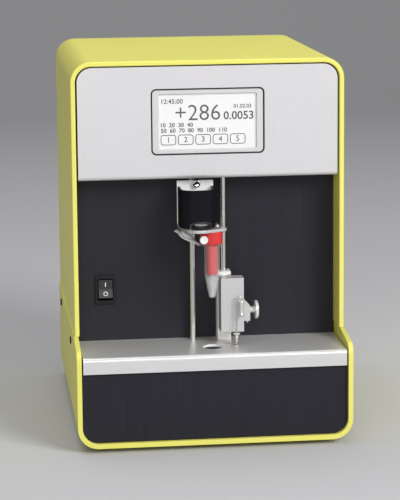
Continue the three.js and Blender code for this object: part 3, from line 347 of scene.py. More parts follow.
def rounded(a: Span, b: Span, radius: float, steps: int = 8) -> list[Span]:
    """Returns the outline of a rectangle with round corners.

    Args:
        a: Its span along the first coordinate.
        b: Its span along the second coordinate.
        radius: The radius of its corners.
        steps: The number of stretches in each corner.

    Returns:
        The outline, anticlockwise.
    """
    return [
        *arc((a[1] - radius, b[0] + radius), radius, -90, 0, steps),
        *arc((a[1] - radius, b[1] - radius), radius, 0, 90, steps),
        *arc((a[0] + radius, b[1] - radius), radius, 90, 180, steps),
        *arc((a[0] + radius, b[0] + radius), radius, 180, 270, steps),
    ]


def repeat(piece: Piece, offsets: Iterable[Point]) -> Piece:
    """Copies a piece to more places and joins the copies with it.

    Args:
        piece: The piece.
        offsets: How far each copy stands from it, in millimetres.

    Returns:
        The joined piece.
    """
    name = piece.name
    pieces = [piece]
    for offset in offsets:
        take(piece)
        bpy.ops.object.duplicate()
        bpy.ops.transform.translate(value=Vector(offset) * MM)
        pieces.append(settle(f"{name}_copy"))
    return gather(name, pieces)


def hang(piece: Piece, axis: Axis, degrees: float, hinge: Point) -> Piece:
    """Turns a piece that is drawn about the frame's origin and carries that origin to a hinge.

    Args:
        piece: The piece.
        axis: The direction of the hinge.
        degrees: The turn about it.
        hinge: The hinge's drawing point.

    Returns:
        The piece.
    """
    take(piece)
    piece.rotation_euler[axis.value] = math.radians(degrees)
    piece.location = place(hinge)
    return settle(piece.name)


def wire(name: str, points: Sequence[Point], radius: float, sides: int = 12) -> Piece:
    """Bends a round wire along points.

    Args:
        name: The name of the piece.
        points: The points of its middle line.
        radius: Its radius.
        sides: About how many flats it has round it.

    Returns:
        The closed wire.
    """
    deselect()
    curve = bpy.data.curves.new(name, "CURVE")
    curve.dimensions = "3D"
    spline = curve.splines.new("POLY")
    spline.points.add(len(points) - 1)
    for knot, point in zip(spline.points, points):
        knot.co = (*place(point), 1.0)
    curve.bevel_depth = radius * MM
    curve.bevel_resolution = sides // 4
    curve.use_fill_caps = True
    piece = bpy.data.objects.new(name, curve)
    bpy.context.collection.objects.link(piece)
    take(piece)
    bpy.ops.object.convert(target="MESH")
    return settle(name)


def lettering(
    name: str, words: str, spot: Point, height: float, depth: float, weight: float = 0.0
) -> Piece:
    """Sets plain numbers that face the front, their middle at a point.

    Args:
        name: The name of the piece.
        words: The numbers.
        spot: The middle of their back face.
        height: The height of a digit.
        depth: How far they stand out.
        weight: How much each stroke grows on either side.

    Returns:
        The piece.
    """
    deselect()
    bpy.ops.object.text_add(location=place(spot), rotation=(math.pi / 2, 0, 0))
    text = bpy.context.active_object.data
    text.body = words
    text.size = height * MM / DIGIT_SHARE
    text.extrude = depth * MM / 2
    text.offset = weight * MM
    text.align_x = "CENTER"
    text.align_y = "CENTER"
    text.resolution_u = 3
    bpy.ops.object.convert(target="MESH")
    return settle(name)


def combine(piece: Piece, others: Iterable[Piece], operation: str) -> Piece:
    """Carves others out of a piece, welds them on or keeps what they share.

    Args:
        piece: The piece that stays.
        others: The pieces that are used up.
        operation: DIFFERENCE, UNION or INTERSECT.

    Returns:
        The piece.
    """
    for other in others:
        apply_modifier(piece, "BOOLEAN", operation=operation, solver="EXACT", object=other)
        bpy.data.objects.remove(other, do_unlink=True)
    return piece


def carve(piece: Piece, *tools: Piece) -> Piece:
    """Returns the piece with tools cut out of it."""
    return combine(piece, tools, "DIFFERENCE")


def weld(piece: Piece, *others: Piece) -> Piece:
    """Returns the piece with others made one with it."""
    return combine(piece, others, "UNION")


def gather(name: str, pieces: Sequence[Piece]) -> Piece:
    """Joins separate solids into one object.

    Args:
        name: The name of the object.
        pieces: The solids.

    Returns:
        The object.
    """
    take(pieces[0])
    for piece in pieces[1:]:
        piece.select_set(True)
    bpy.ops.object.join()
    return settle(name)


def ease(piece: Piece, width: float, steps: int = 2, angle: float = 32.0) -> Piece:
    """Rounds the sharp edges of a piece and shades it smooth with flat faces kept flat.

    Args:
        piece: The piece.
        width: The width of the rounding; zero leaves the edges.
        steps: The number of stretches across it.
        angle: The least angle in degrees between faces that counts as an edge.

    Returns:
        The piece.
    """
    take(piece)
    bpy.ops.object.mode_set(mode="EDIT")
    bpy.ops.mesh.select_all(action="SELECT")
    bpy.ops.mesh.remove_doubles(threshold=WELD_REACH)
    leave()
    if width:
        apply_modifier(
            piece,
            "BEVEL",
            width=width * MM,
            segments=steps,
            limit_method="ANGLE",
            angle_limit=math.radians(angle),
            use_clamp_overlap=True,
            harden_normals=False,
        )
    take(piece)
    bpy.ops.object.shade_smooth_by_angle(angle=SMOOTH_ANGLE, keep_sharp_edges=False)
    apply_modifier(piece, "WEIGHTED_NORMAL", mode="FACE_AREA", weight=50, keep_sharp=True)
    return piece


def bend_sheet(
    piece: Piece, edges: Callable[[Vector, Vector], bool], faces: Callable[[Vector], bool],
    radius: float, wall: float, steps: int = 12,
) -> Piece:
    """Folds a box into bent sheet: rounds its long edges, opens some sides and gives it a wall.

    Args:
        piece: A box of the outer size.
        edges: Says of an edge, by its middle and direction, whether it is a bend.
        faces: Says of a face, by its normal, whether it is left open.
        radius: The outer radius of the bends.
        wall: The thickness of the sheet, inwards.
        steps: The number of stretches in each bend.

    Returns:
        The closed sheet.
    """
    mesh = edit(piece, "FACE")
    for face in [f for f in mesh.faces if faces(f.normal)]:
        face.select = True
    bpy.ops.mesh.delete(type="ONLY_FACE")
    leave()
    mesh = edit(piece, "EDGE")
    for edge in mesh.edges:
        ends = [vertex.co for vertex in edge.verts]
        edge.select = edges((ends[0] + ends[1]) / 2, (ends[1] - ends[0]).normalized())
    bpy.ops.mesh.bevel(offset=radius * MM, segments=steps, affect="EDGES")
    leave()
    apply_modifier(piece, "SOLIDIFY", thickness=wall * MM, offset=-1.0, use_even_offset=True)
    return piece


# Finishes


def add_node(
    tree: bpy.types.NodeTree, kind: str, inputs: dict[str | int, object], **settings: object
) -> bpy.types.Node:
    """Adds a shader node and feeds its inputs.

    Args:
        tree: The node tree.
        kind: The node's type, without the word ShaderNode.
        inputs: What each input takes: a socket is linked, anything else is a plain value.
        settings: The node's own settings.

    Returns:
        The node.
    """
    node = tree.nodes.new(f"ShaderNode{kind}")
    for key, value in settings.items():
        setattr(node, key, value)
    for key, value in inputs.items():
        if isinstance(value, bpy.types.NodeSocket):
            tree.links.new(value, node.inputs[key])
        else:
            node.inputs[key].default_value = value
    return node


class Shader:
    """The node tree of one material while it is built."""

    def __init__(self, name: str) -> None:
        """Starts a material with a Principled surface.

        Args:
            name: The name of the material.
        """
        self.material = bpy.data.materials.new(name)
        self.material.use_nodes = True
        self.tree = self.material.node_tree
        self.surface = self.tree.nodes["Principled BSDF"]

    def set(self, **sockets: object) -> None:
        """Sets plain values on the surface's own sockets, their names written with underscores."""
        for key, value in sockets.items():
            self.surface.inputs[key.replace("_", " ")].default_value = value

    def mapped(self, scale: Point) -> bpy.types.NodeSocket:
        """Returns the object's coordinates, scaled for a pattern."""
        place = self.tree.nodes.new("ShaderNodeTexCoord").outputs["Object"]
        return add_node(self.tree, "Mapping", {"Vector": place, "Scale": scale}).outputs["Vector"]

    def effect(
        self, group: bpy.types.NodeTree, output: str, socket: str, **values: object
    ) -> None:
        """Places a shared effect and feeds its output to the surface.

        Args:
            group: The node group.
            output: The group's output.
            socket: The surface's socket that it feeds.
            values: The group's inputs, their names written with underscores.
        """
        inputs = {key.replace("_", " "): value for key, value in values.items()}
        node = add_node(self.tree, "Group", inputs, node_tree=group)
        self.tree.links.new(node.outputs[output], self.surface.inputs[socket])

    def thicken_rim(self, most: float) -> None:
        """Makes a clear wall more opaque where it is seen at a grazing angle.

        Args:
            most: How opaque it gets at the rim.
        """
        graze = add_node(self.tree, "LayerWeight", {"Blend": 0.5}).outputs["Facing"]
        ramp = {"Value": graze, "From Min": RIM_START, "From Max": RIM_END, "To Max": most}
        rim = add_node(self.tree, "MapRange", ramp).outputs["Result"]
        alpha = self.surface.inputs["Alpha"]
        pair = {0: alpha.links[0].from_socket, 1: rim}
        larger = add_node(self.tree, "Math", pair, operation="MAXIMUM")
        self.tree.links.new(larger.outputs["Value"], alpha)


class Effects:
    """The surface effects that several finishes share, each a node group made once."""

    middle: ClassVar[dict[str, float]] = {"From Min": 0.3, "From Max": 0.7}

    def __init__(self) -> None:
        """Makes the groups."""
        self.tone = self.make_tone()
        self.relief = self.make_relief()
        self.sheen = self.make_sheen()
        self.clouding = self.make_clouding()

    @staticmethod
    def start(name: str, output: str, kind: str, **inputs: str) -> tuple:
        """Starts a node group that takes a Vector, a Scale and more.

        Args:
            name: Its name.
            output: The name of its output.
            kind: The kind of its output: Color, Float or Vector.
            inputs: The kind of each further input, their names written with underscores.

        Returns:
            The tree, its input node's sockets and its output.
        """
        tree = bpy.data.node_groups.new(name, "ShaderNodeTree")
        sockets = [("Vector", "INPUT", "Vector"), ("Scale", "INPUT", "Float")]
        sockets += [(key.replace("_", " "), "INPUT", given) for key, given in inputs.items()]
        for key, way, given in [*sockets, (output, "OUTPUT", kind)]:
            tree.interface.new_socket(name=key, in_out=way, socket_type=f"NodeSocket{given}")
        end = tree.nodes.new("NodeGroupOutput").inputs[output]
        return tree, tree.nodes.new("NodeGroupInput").outputs, end

    @staticmethod
    def noise(
        tree: bpy.types.NodeTree, given: bpy.types.NodeOutputs, detail: float
    ) -> bpy.types.NodeSocket:
        """Adds a noise that follows the group's Vector and Scale and returns its value."""
        inputs = {"Vector": given["Vector"], "Scale": given["Scale"], "Detail": detail}
        return add_node(tree, "TexNoise", inputs).outputs["Fac"]

    def make_tone(self) -> bpy.types.NodeTree:
        """Makes the effect that wanders between two close colours.

        Returns:
            The node group.
        """
        tree, given, end = self.start(
            "wandering_tone", "Colour", "Color", Colour="Color", Second_colour="Color"
        )
        wide = {"Value": self.noise(tree, given, 4.0), **self.middle}
        share = add_node(tree, "MapRange", wide).outputs["Result"]
        pair = {"Factor": share, MIX_FIRST: given["Colour"], MIX_SECOND: given["Second colour"]}
        mix = add_node(tree, "Mix", pair, data_type="RGBA")
        tree.links.new(mix.outputs[MIX_RESULT], end)
        return tree

    def make_relief(self) -> bpy.types.NodeTree:
        """Makes the effect of fine relief: powder texture, grain or turning marks.

        Returns:
            The node group.
        """
        tree, given, end = self.start(
            "fine_relief", "Normal", "Vector", Depth="Float", Strength="Float"
        )
        inputs = {"Height": self.noise(tree, given, 2.0), "Distance": given["Depth"]}
        bump = add_node(tree, "Bump", {**inputs, "Strength": given["Strength"]})
        tree.links.new(bump.outputs["Normal"], end)
        return tree

    def make_sheen(self) -> bpy.types.NodeTree:
        """Makes the effect of gloss that varies with handling.

        Returns:
            The node group.
        """
        tree, given, end = self.start(
            "handled_gloss", "Roughness", "Float", Least="Float", Most="Float"
        )
        ends = {"To Min": given["Least"], "To Max": given["Most"]}
        wide = {"Value": self.noise(tree, given, 5.0), **self.middle, **ends}
        tree.links.new(add_node(tree, "MapRange", wide).outputs["Result"], end)
        return tree

    def make_clouding(self) -> bpy.types.NodeTree:
        """Makes the effect of a clear wall that clouds below a height, where it thickens.

        Returns:
            The node group.
        """
        tree, given, end = self.start(
            "clouded_wall", "Alpha", "Float",
            Low="Float", High="Float", Clouded="Float", Clear="Float",
        )
        split = add_node(tree, "SeparateXYZ", {"Vector": given["Vector"]})
        ramp = {"From Min": "Low", "From Max": "High", "To Min": "Clouded", "To Max": "Clear"}
        inputs = {target: given[source] for target, source in ramp.items()}
        height = add_node(tree, "MapRange", {"Value": split.outputs["Z"], **inputs})
        noise = self.noise(tree, given, 3.0)
        patch = add_node(tree, "MapRange", {"Value": noise, "To Min": 0.8, "To Max": 1.2})
        pair = {0: height.outputs["Result"], 1: patch.outputs["Result"]}
        product = add_node(tree, "Math", pair, operation="MULTIPLY")
        tree.links.new(product.outputs["Value"], end)
        return tree


@dataclass(frozen=True)
class Clouding:
    """How a clear wall clouds: the heights in metres, how opaque at each and at a grazing view."""

    low: float
    high: float
    clouded: float
    clear: float
    rim: float = 0.55


@dataclass(frozen=True)
class Finish:
    """One finish: two close colours, a gloss range, a relief and the shader's plain values."""

    name: str
    slot: str
    colour: Colour
    second: Colour
    least: float
    most: float
    metallic: float = 0.0
    specular: float = 0.5
    tone_scale: float = 14.0
    grain: Point = (1.0, 1.0, 1.0)
    grain_scale: float = 900.0
    depth: float = 0.00002
    strength: float = 0.2
    plain: dict[str, float] = field(default_factory=dict)
    clouding: Clouding | None = None

    def build(self, effects: Effects) -> bpy.types.Material:
        """Builds the material.

        Args:
            effects: The shared effects.

        Returns:
            The material.
        """
        shader = Shader(self.name)
        shader.set(Metallic=self.metallic, Specular_IOR_Level=self.specular, **self.plain)
        vector = shader.mapped(self.grain)
        shader.effect(
            effects.tone, "Colour", "Base Color", Vector=vector, Scale=self.tone_scale,
            Colour=(*self.colour, 1.0), Second_colour=(*self.second, 1.0),
        )
        shader.effect(
            effects.sheen, "Roughness", "Roughness", Vector=vector, Scale=GLOSS_SCALE,
            Least=self.least, Most=self.most,
        )
        shader.effect(
            effects.relief, "Normal", "Normal", Vector=vector, Scale=self.grain_scale,
            Depth=self.depth, Strength=self.strength,
        )
        cloud = self.clouding
        if cloud:
            shader.effect(
                effects.clouding, "Alpha", "Alpha", Vector=vector, Scale=CLOUD_SCALE,
                Low=cloud.low, High=cloud.high, Clouded=cloud.clouded, Clear=cloud.clear,
            )
            shader.thicken_rim(cloud.rim)
        return shader.material


BRUSHED = {"tone_scale": 60.0, "grain_scale": 120.0, "depth": 0.00001}
MACHINED = {
    "tone_scale": 40.0, "grain": (20.0, 20.0, 1.0), "grain_scale": 90.0, "depth": 0.00001,
    "strength": 0.3,
}
MOULDED = {"depth": 0.00003, "strength": 0.3}
BRIGHT = {"depth": 0.000005, "strength": 0.1}
MILKY = {
    "specular": 0.6, "tone_scale": 300.0, "grain_scale": 700.0, "depth": 0.0001,
    "strength": 0.35,
}

FINISHES = (
    Finish(
        "yellow_powder_coat", "yellow_paint", (0.80, 0.765, 0.16), (0.775, 0.735, 0.148),
        0.42, 0.5, specular=0.4, grain_scale=1400.0, depth=0.00004, strength=0.25,
        plain={"Coat_Weight": 0.06, "Coat_Roughness": 0.3},
    ),
    Finish(
        "silver_panel", "satin_aluminium", (0.705, 0.69, 0.70), (0.67, 0.66, 0.67),
        0.36, 0.46, 0.45, grain=(30.0, 30.0, 0.6), strength=0.3, **BRUSHED,
    ),
    Finish(
        "brushed_shelf", "satin_aluminium", (0.78, 0.77, 0.77), (0.73, 0.725, 0.725),
        0.3, 0.42, 0.55, grain=(0.6, 30.0, 30.0), strength=0.35, **BRUSHED,
    ),
    Finish(
        "machined_aluminium", "satin_aluminium", (0.62, 0.615, 0.62), (0.58, 0.575, 0.58),
        0.32, 0.44, 0.4, **MACHINED,
    ),
    # This finish also makes the pale band in the well's mouth, which is a painted highlight.
    Finish(
        "pale_bracket", "satin_aluminium", (0.98, 0.975, 0.965), (0.95, 0.945, 0.935),
        0.34, 0.46, 0.05, **MACHINED,
    ),
    Finish(
        "satin_post", "satin_aluminium", (0.93, 0.925, 0.91), (0.90, 0.895, 0.88),
        0.34, 0.46, 0.1, **MACHINED,
    ),
    Finish(
        "bright_flange", "satin_aluminium", (0.76, 0.755, 0.75), (0.70, 0.695, 0.69),
        0.26, 0.36, 0.85, **MACHINED,
    ),
    # Painted shade: the cold block is made near black so the well's bore reads dark in its shaded
    # depth.
    Finish(
        "painted_shade_aluminium", "satin_aluminium", (0.05, 0.05, 0.055), (0.07, 0.07, 0.075),
        0.35, 0.45, 0.3, tone_scale=40.0,
    ),
    Finish(
        "black_anodised_sheet", "black_paint", (0.013, 0.012, 0.018), (0.017, 0.016, 0.023),
        0.42, 0.54, specular=0.25, tone_scale=40.0, grain=(30.0, 30.0, 0.5),
        grain_scale=90.0, strength=0.4,
    ),
    Finish(
        "polished_rod", "steel", (0.66, 0.65, 0.63), (0.6, 0.59, 0.57),
        0.16, 0.26, 1.0, grain=(1.0, 1.0, 25.0), grain_scale=60.0, depth=0.00001,
    ),
    Finish(
        "bright_chrome", "chrome", (0.86, 0.86, 0.85), (0.82, 0.82, 0.81),
        0.07, 0.13, 1.0, **BRIGHT,
    ),
    Finish(
        "bright_nickel", "chrome", (0.86, 0.845, 0.81), (0.80, 0.785, 0.75),
        0.2, 0.3, 0.78, **BRIGHT,
    ),
    Finish(
        "satin_nickel", "chrome", (0.80, 0.785, 0.74), (0.75, 0.735, 0.69),
        0.26, 0.36, 0.45, **BRIGHT,
    ),
    Finish(
        "black_moulding", "black_plastic", (0.006, 0.006, 0.010), (0.010, 0.010, 0.014),
        0.32, 0.44, specular=0.3, **MOULDED,
    ),
    Finish(
        "black_cover", "black_plastic", (0.004, 0.004, 0.007), (0.007, 0.007, 0.010),
        0.42, 0.55, specular=0.1, **MOULDED,
    ),
    Finish(
        "grey_rocker", "black_plastic", (0.017, 0.017, 0.02), (0.024, 0.024, 0.028),
        0.3, 0.4, **MOULDED,
    ),
    Finish(
        "foot_rubber", "rubber", (0.02, 0.02, 0.02), (0.032, 0.031, 0.03),
        0.75, 0.9, depth=0.00005, strength=0.5,
    ),
    Finish(
        "red_moulding", "red_plastic", (0.66, 0.035, 0.032), (0.58, 0.028, 0.028),
        0.28, 0.38, plain={"Subsurface_Weight": 0.1, "Subsurface_Scale": 0.002},
    ),
    Finish(
        "white_moulding", "white_plastic", (0.84, 0.83, 0.82), (0.78, 0.77, 0.76), 0.3, 0.4,
    ),
    Finish(
        "milky_tube", "clear_plastic", (0.86, 0.88, 0.88), (0.92, 0.93, 0.93),
        0.16, 0.28, clouding=Clouding(0.1205, 0.1245, 0.26, 0.06), **MILKY,
    ),
    Finish(
        "milky_lid", "clear_plastic", (0.88, 0.89, 0.89), (0.94, 0.95, 0.95),
        0.16, 0.28, clouding=Clouding(0.140, 0.156, 0.8, 0.7, 0.8), **MILKY,
    ),
    Finish(
        "clear_pane", "clear_plastic", (0.9, 0.92, 0.92), (0.94, 0.95, 0.95),
        0.05, 0.1, depth=0.000005, strength=0.05, plain={"Alpha": 0.04},
    ),
    Finish(
        "grey_rear_paint", "grey_paint", (0.5, 0.505, 0.49), (0.46, 0.465, 0.45),
        0.5, 0.6, depth=0.00004, strength=0.3,
    ),
    Finish(
        "zinc_sheet", "zinc_plate", (0.55, 0.56, 0.58), (0.42, 0.43, 0.45),
        0.3, 0.5, 0.9, tone_scale=50.0,
    ),
    # Painted shade: the chassis is made near black so the gap beside the bay panel shows the shadow
    # that falls there.
    Finish(
        "painted_shade_zinc", "zinc_plate", (0.02, 0.02, 0.024), (0.035, 0.035, 0.04),
        0.4, 0.55, 0.3, tone_scale=50.0,
    ),
    Finish(
        "board_green", "board_green", (0.02, 0.1, 0.045), (0.03, 0.14, 0.06),
        0.35, 0.45, tone_scale=120.0,
    ),
    Finish(
        "screen_white", "white_plastic", (0.83, 0.835, 0.82), (0.80, 0.805, 0.79),
        0.4, 0.5, tone_scale=30.0, **BRIGHT,
    ),
    Finish(
        "screen_ink", "black_plastic", (0.02, 0.02, 0.028), (0.03, 0.03, 0.04),
        0.4, 0.5, **BRIGHT,
    ),
)


class Paintbox:
    """The materials by name, and the slot that each belongs to."""

    def __init__(self) -> None:
        """Builds every finish."""
        effects = Effects()
        self.slots = {finish.name: finish.slot for finish in FINISHES}
        self.materials = {finish.name: finish.build(effects) for finish in FINISHES}


# Sub-assemblies


@dataclass
class Assembly:
    """What every sub-assembly has; its methods named build_ run in the order they stand in."""

    paints: Paintbox
    body: ClassVar[Body] = Body.CABINET

    def dress(
        self, piece: Piece, width: float | None, finish: str, node: str = "",
        body: Body | None = None, steps: int = 2,
    ) -> None:
        """Rounds a new piece's edges and gives it its finish and its body.

        Args:
            piece: The piece.
            width: The width of the rounding; None leaves a piece that has been eased.
            finish: The name of its finish.
            node: The CAD node that it replaces, if any.
            body: The body that it rides on, if not the sub-assembly's own.
            steps: The number of stretches across the rounding.
        """
        if width is not None:
            ease(piece, width, steps)
        piece.data.materials.clear()
        piece.data.materials.append(self.paints.materials[finish])
        if node:
            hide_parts(node)
        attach(piece, (body or self.body).value)
        LOG.info("%s: %d faces, %s", piece.name, len(piece.data.polygons), finish)

    def coat(self, finish: str, *nodes: str) -> None:
        """Puts a finish on CAD nodes that keep their own shape.

        Args:
            finish: The name of the finish.
            nodes: The names of the nodes.
        """
        for node in nodes:
            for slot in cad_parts[node].material_slots:
                slot.material = self.paints.materials[finish]

    def build(self) -> None:
        """Builds the whole sub-assembly."""
        for name in vars(type(self)):
            if name.startswith("build_"):
                getattr(self, name)()


@dataclass
class Housing(Assembly):
    """The two yellow shells, their side screws and the feet."""

    half: float = 100.0
    wall: float = 3.5
    radius: float = 15.0
    ledge: float = 0.8
    depth: float = 240.0
    bottom: float = 3.5
    seam: float = 78.5
    top: float = 278.5
    step: float = 34.0
    cheek_drop: float = 3.5
    cheek_nose: float = 9.0
    edge: float = 0.8
    base_edge: float = 0.3
    foot_inset: float = 26.0
    screw_z: float = 68.1
    screw_ys: Span = (70.0, 205.0)
    screw_radius: float = 2.8
    screw_proud: float = 1.0
    socket: Span = (1.25, 1.0)
    seat_gap: float = 0.3
    seat_depth: float = 0.6

    def trough(self, name: str, half: float, y: Span, z: Span, up: bool) -> Piece:
        """Bends one shell: a trough that is closed above or below.

        Args:
            name: The name of the shell.
            half: Half its width.
            y: Its span back.
            z: Its span up.
            up: Whether the closed side is the top.

        Returns:
            The shell.
        """
        closed = z[1] if up else z[0]
        level = place((0, 0, closed)).z
        open_side = -1.0 if up else 1.0
        return bend_sheet(
            block(name, (-half, half), y, z),
            lambda middle, way: abs(way.y) > 0.9 and abs(middle.z - level) < MM,
            lambda normal: abs(normal.y) > 0.9 or normal.z * open_side > 0.9,
            self.radius,
            self.wall,
        )

    def cheek_cut(self) -> Piece:
        """Makes the tool that shapes the top front corners of the base shell's sides.

        Returns:
            The tool.
        """
        high = self.seam - self.cheek_drop
        nose = self.cheek_nose
        curve = [
            (nose * (1 - share) ** 2, high - nose * share**2)
            for share in [step / 10 for step in range(11)]
        ]
        above = [(-OVERRUN, high - nose), (-OVERRUN, self.seam + OVERRUN)]
        outline = [(self.step, self.seam), *curve, *above, (self.step, self.seam + OVERRUN)]
        reach = self.half + OVERRUN
        return plate("cheek_tool", Axis.X, outline, (-reach, reach))

    def seat_tools(self) -> list[Piece]:
        """Makes the tools that cut the side screws' seats.

        Returns:
            The tools.
        """
        tools = []
        radius = self.screw_radius + self.seat_gap
        for side, _ in SIDES:
            span = sorted((side * (self.half - self.seat_depth), side * (self.half + OVERRUN)))
            for y in self.screw_ys:
                tools.append(drum("seat", Axis.X, (0, y, self.screw_z), span, radius, 32))
        return tools

    def build_shells(self) -> None:
        """Builds and dresses the base shell and the hood."""
        base = self.trough(
            "base_shell_skin", self.half, (0, self.depth), (self.bottom, self.seam), False
        )
        ease(carve(base, self.cheek_cut()), self.base_edge, 3)
        self.dress(carve(base, *self.seat_tools()), 0, "yellow_powder_coat", "base_shell")
        hood = self.trough(
            "hood_skin", self.half - self.ledge, (self.step, self.depth), (self.seam, self.top),
            True,
        )
        self.dress(hood, self.edge, "yellow_powder_coat", "hood", steps=3)

    def build_screws(self) -> None:
        """Builds the socket screws in the sides, their heads proud."""
        face, wide = self.half + self.screw_proud, self.screw_radius
        head = [(1.5, 6.6), (1.5, 1.6), (wide, 1.6), (wide, 0.35), (wide - 0.35, 0.0), (0.0, 0.0)]
        radius, depth = self.socket
        for side, hand in SIDES:
            profile = [(reach, side * (face - drop)) for reach, drop in head]
            span = sorted((side * (face - depth), side * (face + OVERRUN)))
            for y, end in zip(self.screw_ys, ("front", "rear")):
                node, spot = f"side_screw_{hand}_{end}", (0, y, self.screw_z)
                screw = turned(f"{node}_head", Axis.X, spot, profile, 24)
                carve(screw, drum("socket", Axis.X, spot, span, radius, 6))
                self.dress(screw, 0, "black_moulding", node)

    def build_feet(self) -> None:
        """Builds the four round rubber feet."""
        profile = [(3.0, 0.6), (3.6, 0.0), (6.2, 0.0), (7.4, 0.5), (8.0, 1.5), (8.0, 3.5)]
        for side, hand in SIDES:
            for y, end in ((self.foot_inset, "front"), (self.depth - self.foot_inset, "rear")):
                foot = (side * (self.half - self.foot_inset), y, 0)
                pad = turned(f"foot_{hand}_{end}_pad", Axis.Z, foot, profile, 32)
                self.dress(pad, 0, "foot_rubber", f"foot_{hand}_{end}")


@dataclass
class Bay(Assembly):
    """The working bay: silver panel, black panels, shelf and guide rods."""

    half: float = 96.5
    front: float = 35.0
    back: float = 57.0
    soffit: float = 192.5
    top: float = 275.0
    corner: float = 11.2
    sheet: float = 2.0
    gap: float = 0.3
    side_gap: float = 2.1
    top_gap: float = 0.9
    bend: float = 3.0
    shelf_top: float = 70.0
    shelf_lip: float = 11.7
    shelf_nose: float = 0.5
    window_x: float = -0.3
    window_z: float = 234.1
    window: Span = (82.5, 48.1)
    window_corner: float = 3.8
    rod_xs: Span = (-10.8, 12.0)
    rod_y: float = 51.0
    rod_radius: float = 2.25
    well: Point = (0.6, 25.0, 7.3)
    needle_hole: Point = (18.3, 26.0, 1.15)
    switch_x: float = -74.8
    switch_z: float = 108.3
    switch_hole: Span = (13.2, 19.6)
    panel_gap: float = 1.5
    panel_top: float = 208.5
    shelf_gap: float = 1.1
    # The wall and heights of a pale band in the well's mouth, a painted highlight on the bore's lit
    # upper wall.
    highlight_band: float = 0.48
    highlight_band_z: Span = (68.4, 69.65)
    lower_low: float = 7.3
    lower_reach: float = 7.0
    lower_gap: float = 0.5
    rod_z: Span = (53.5, 202.0)
    rod_taper: Span = (0.35, 0.4)
    rod_flat: float = 0.5

    def angle_outline(self, front: float, back: float, face: float, far: float) -> list[Span]:
        """Returns the side outline of a bent sheet whose outer corner is round.

        Args:
            front: The Y of its outer front face.
            back: The Y where its flat leg ends.
            face: The Z of the flat leg's outer face.
            far: The Z where its upright leg ends.

        Returns:
            The outline in Y and Z.
        """
        up = math.copysign(1.0, far - face)
        outer = [
            (front + self.bend * (1 - math.sin(a)), face + up * self.bend * (1 - math.cos(a)))
            for a in [math.radians(9 * step) for step in range(11)]
        ]
        inner_radius = self.bend - self.sheet
        inner = [
            (
                front + self.bend - inner_radius * math.sin(a),
                face + up * (self.bend - inner_radius * math.cos(a)),
            )
            for a in [math.radians(90 - 22.5 * step) for step in range(5)]
        ]
        return [
            (back, face), *outer, (front, far), (front + self.sheet, far), *inner,
            (back, face + up * self.sheet),
        ]

    def rod_tools(self, z: Span) -> list[Piece]:
        """Makes the tools for the two rod holes through a span of height.

        Args:
            z: The span of height.

        Returns:
            The tools.
        """
        return [
            drum("rod_hole", Axis.Z, (x, self.rod_y, 0), z, self.rod_radius + self.gap, 40)
            for x in self.rod_xs
        ]

    def build_display_panel(self) -> None:
        """Builds the silver panel with its round lower bend, corners and window opening."""
        half = self.half - self.side_gap
        top = self.top - self.top_gap
        outline = self.angle_outline(self.front, self.back - self.gap, self.soffit, top)
        panel = plate("silver_panel", Axis.X, outline, (-half, half))
        corner = self.corner + self.gap - self.top_gap
        corners = rounded((-half, half), (self.soffit - 20, top), corner, 12)
        deep = beyond((self.front, self.back))
        combine(panel, [plate("corner_tool", Axis.Y, corners, deep)], "INTERSECT")
        opening = rounded(
            around(self.window_x, self.window[0]),
            around(self.window_z, self.window[1]),
            self.window_corner,
        )
        window = plate("window_tool", Axis.Y, opening, beyond((self.front, self.front)))
        carve(panel, window, *self.rod_tools(beyond((self.soffit, self.soffit))))
        self.dress(panel, 0.25, "silver_panel", "display_panel")

    def build_bay_panel(self) -> None:
        """Builds the black back panel of the bay with its switch opening."""
        half = self.half - self.panel_gap
        deep = (self.back, self.back + self.sheet)
        tall = (self.shelf_top, self.panel_top)
        panel = block("bay_back_panel", (-half, half), deep, tall)
        opening = block(
            "switch_tool",
            around(self.switch_x, self.switch_hole[0]),
            beyond((self.back, self.back)),
            around(self.switch_z, self.switch_hole[1]),
        )
        carve(panel, opening)
        self.dress(panel, 0.2, "black_anodised_sheet", "bay_panel")

    def build_shelf(self) -> None:
        """Builds the bent shelf with the cooling well's mouth and the needle's hole."""
        half, high = self.half - self.shelf_gap, self.shelf_top
        nose, back = self.shelf_nose, self.back + self.sheet
        outline = self.angle_outline(nose, back, high, high - self.shelf_lip)
        shelf = plate("shelf_sheet", Axis.X, outline, (-half, half))
        span = beyond((high, high))
        for (x, y, radius), sides in ((self.well, 72), (self.needle_hole, 24)):
            carve(shelf, drum("hole_tool", Axis.Z, (x, y, 0), span, radius, sides))
        carve(shelf, *self.rod_tools(span))
        self.dress(shelf, 0.35, "brushed_shelf", "shelf")
        # A pale band inside the well's mouth is a painted highlight on the bore's lit upper wall;
        # the near-black cold block below is painted shade.
        x, y, radius = self.well
        outer = radius - 0.02
        sleeve = drum("well_highlight_band", Axis.Z, (x, y, 0), self.highlight_band_z, outer, 72)
        bore = drum("bore", Axis.Z, (x, y, 0), beyond(self.highlight_band_z), outer - self.highlight_band, 72)
        self.dress(carve(sleeve, bore), 0, "pale_bracket", "shelf")

    def build_lower_panel(self) -> None:
        """Builds the black panel under the shelf, its lower corners round."""
        half = self.half - self.gap
        front = self.shelf_nose + self.sheet + self.lower_gap
        low, high = self.lower_low, self.shelf_top - self.shelf_lip + self.lower_reach
        radius = self.corner
        outline = [
            *arc((-half + radius, low + radius), radius, 180, 270, 12),
            *arc((half - radius, low + radius), radius, 270, 360, 12),
            (half, high),
            (-half, high),
        ]
        panel = plate("lower_front_panel", Axis.Y, outline, (front, front + self.sheet))
        self.dress(panel, 0.2, "black_anodised_sheet", "lower_panel")

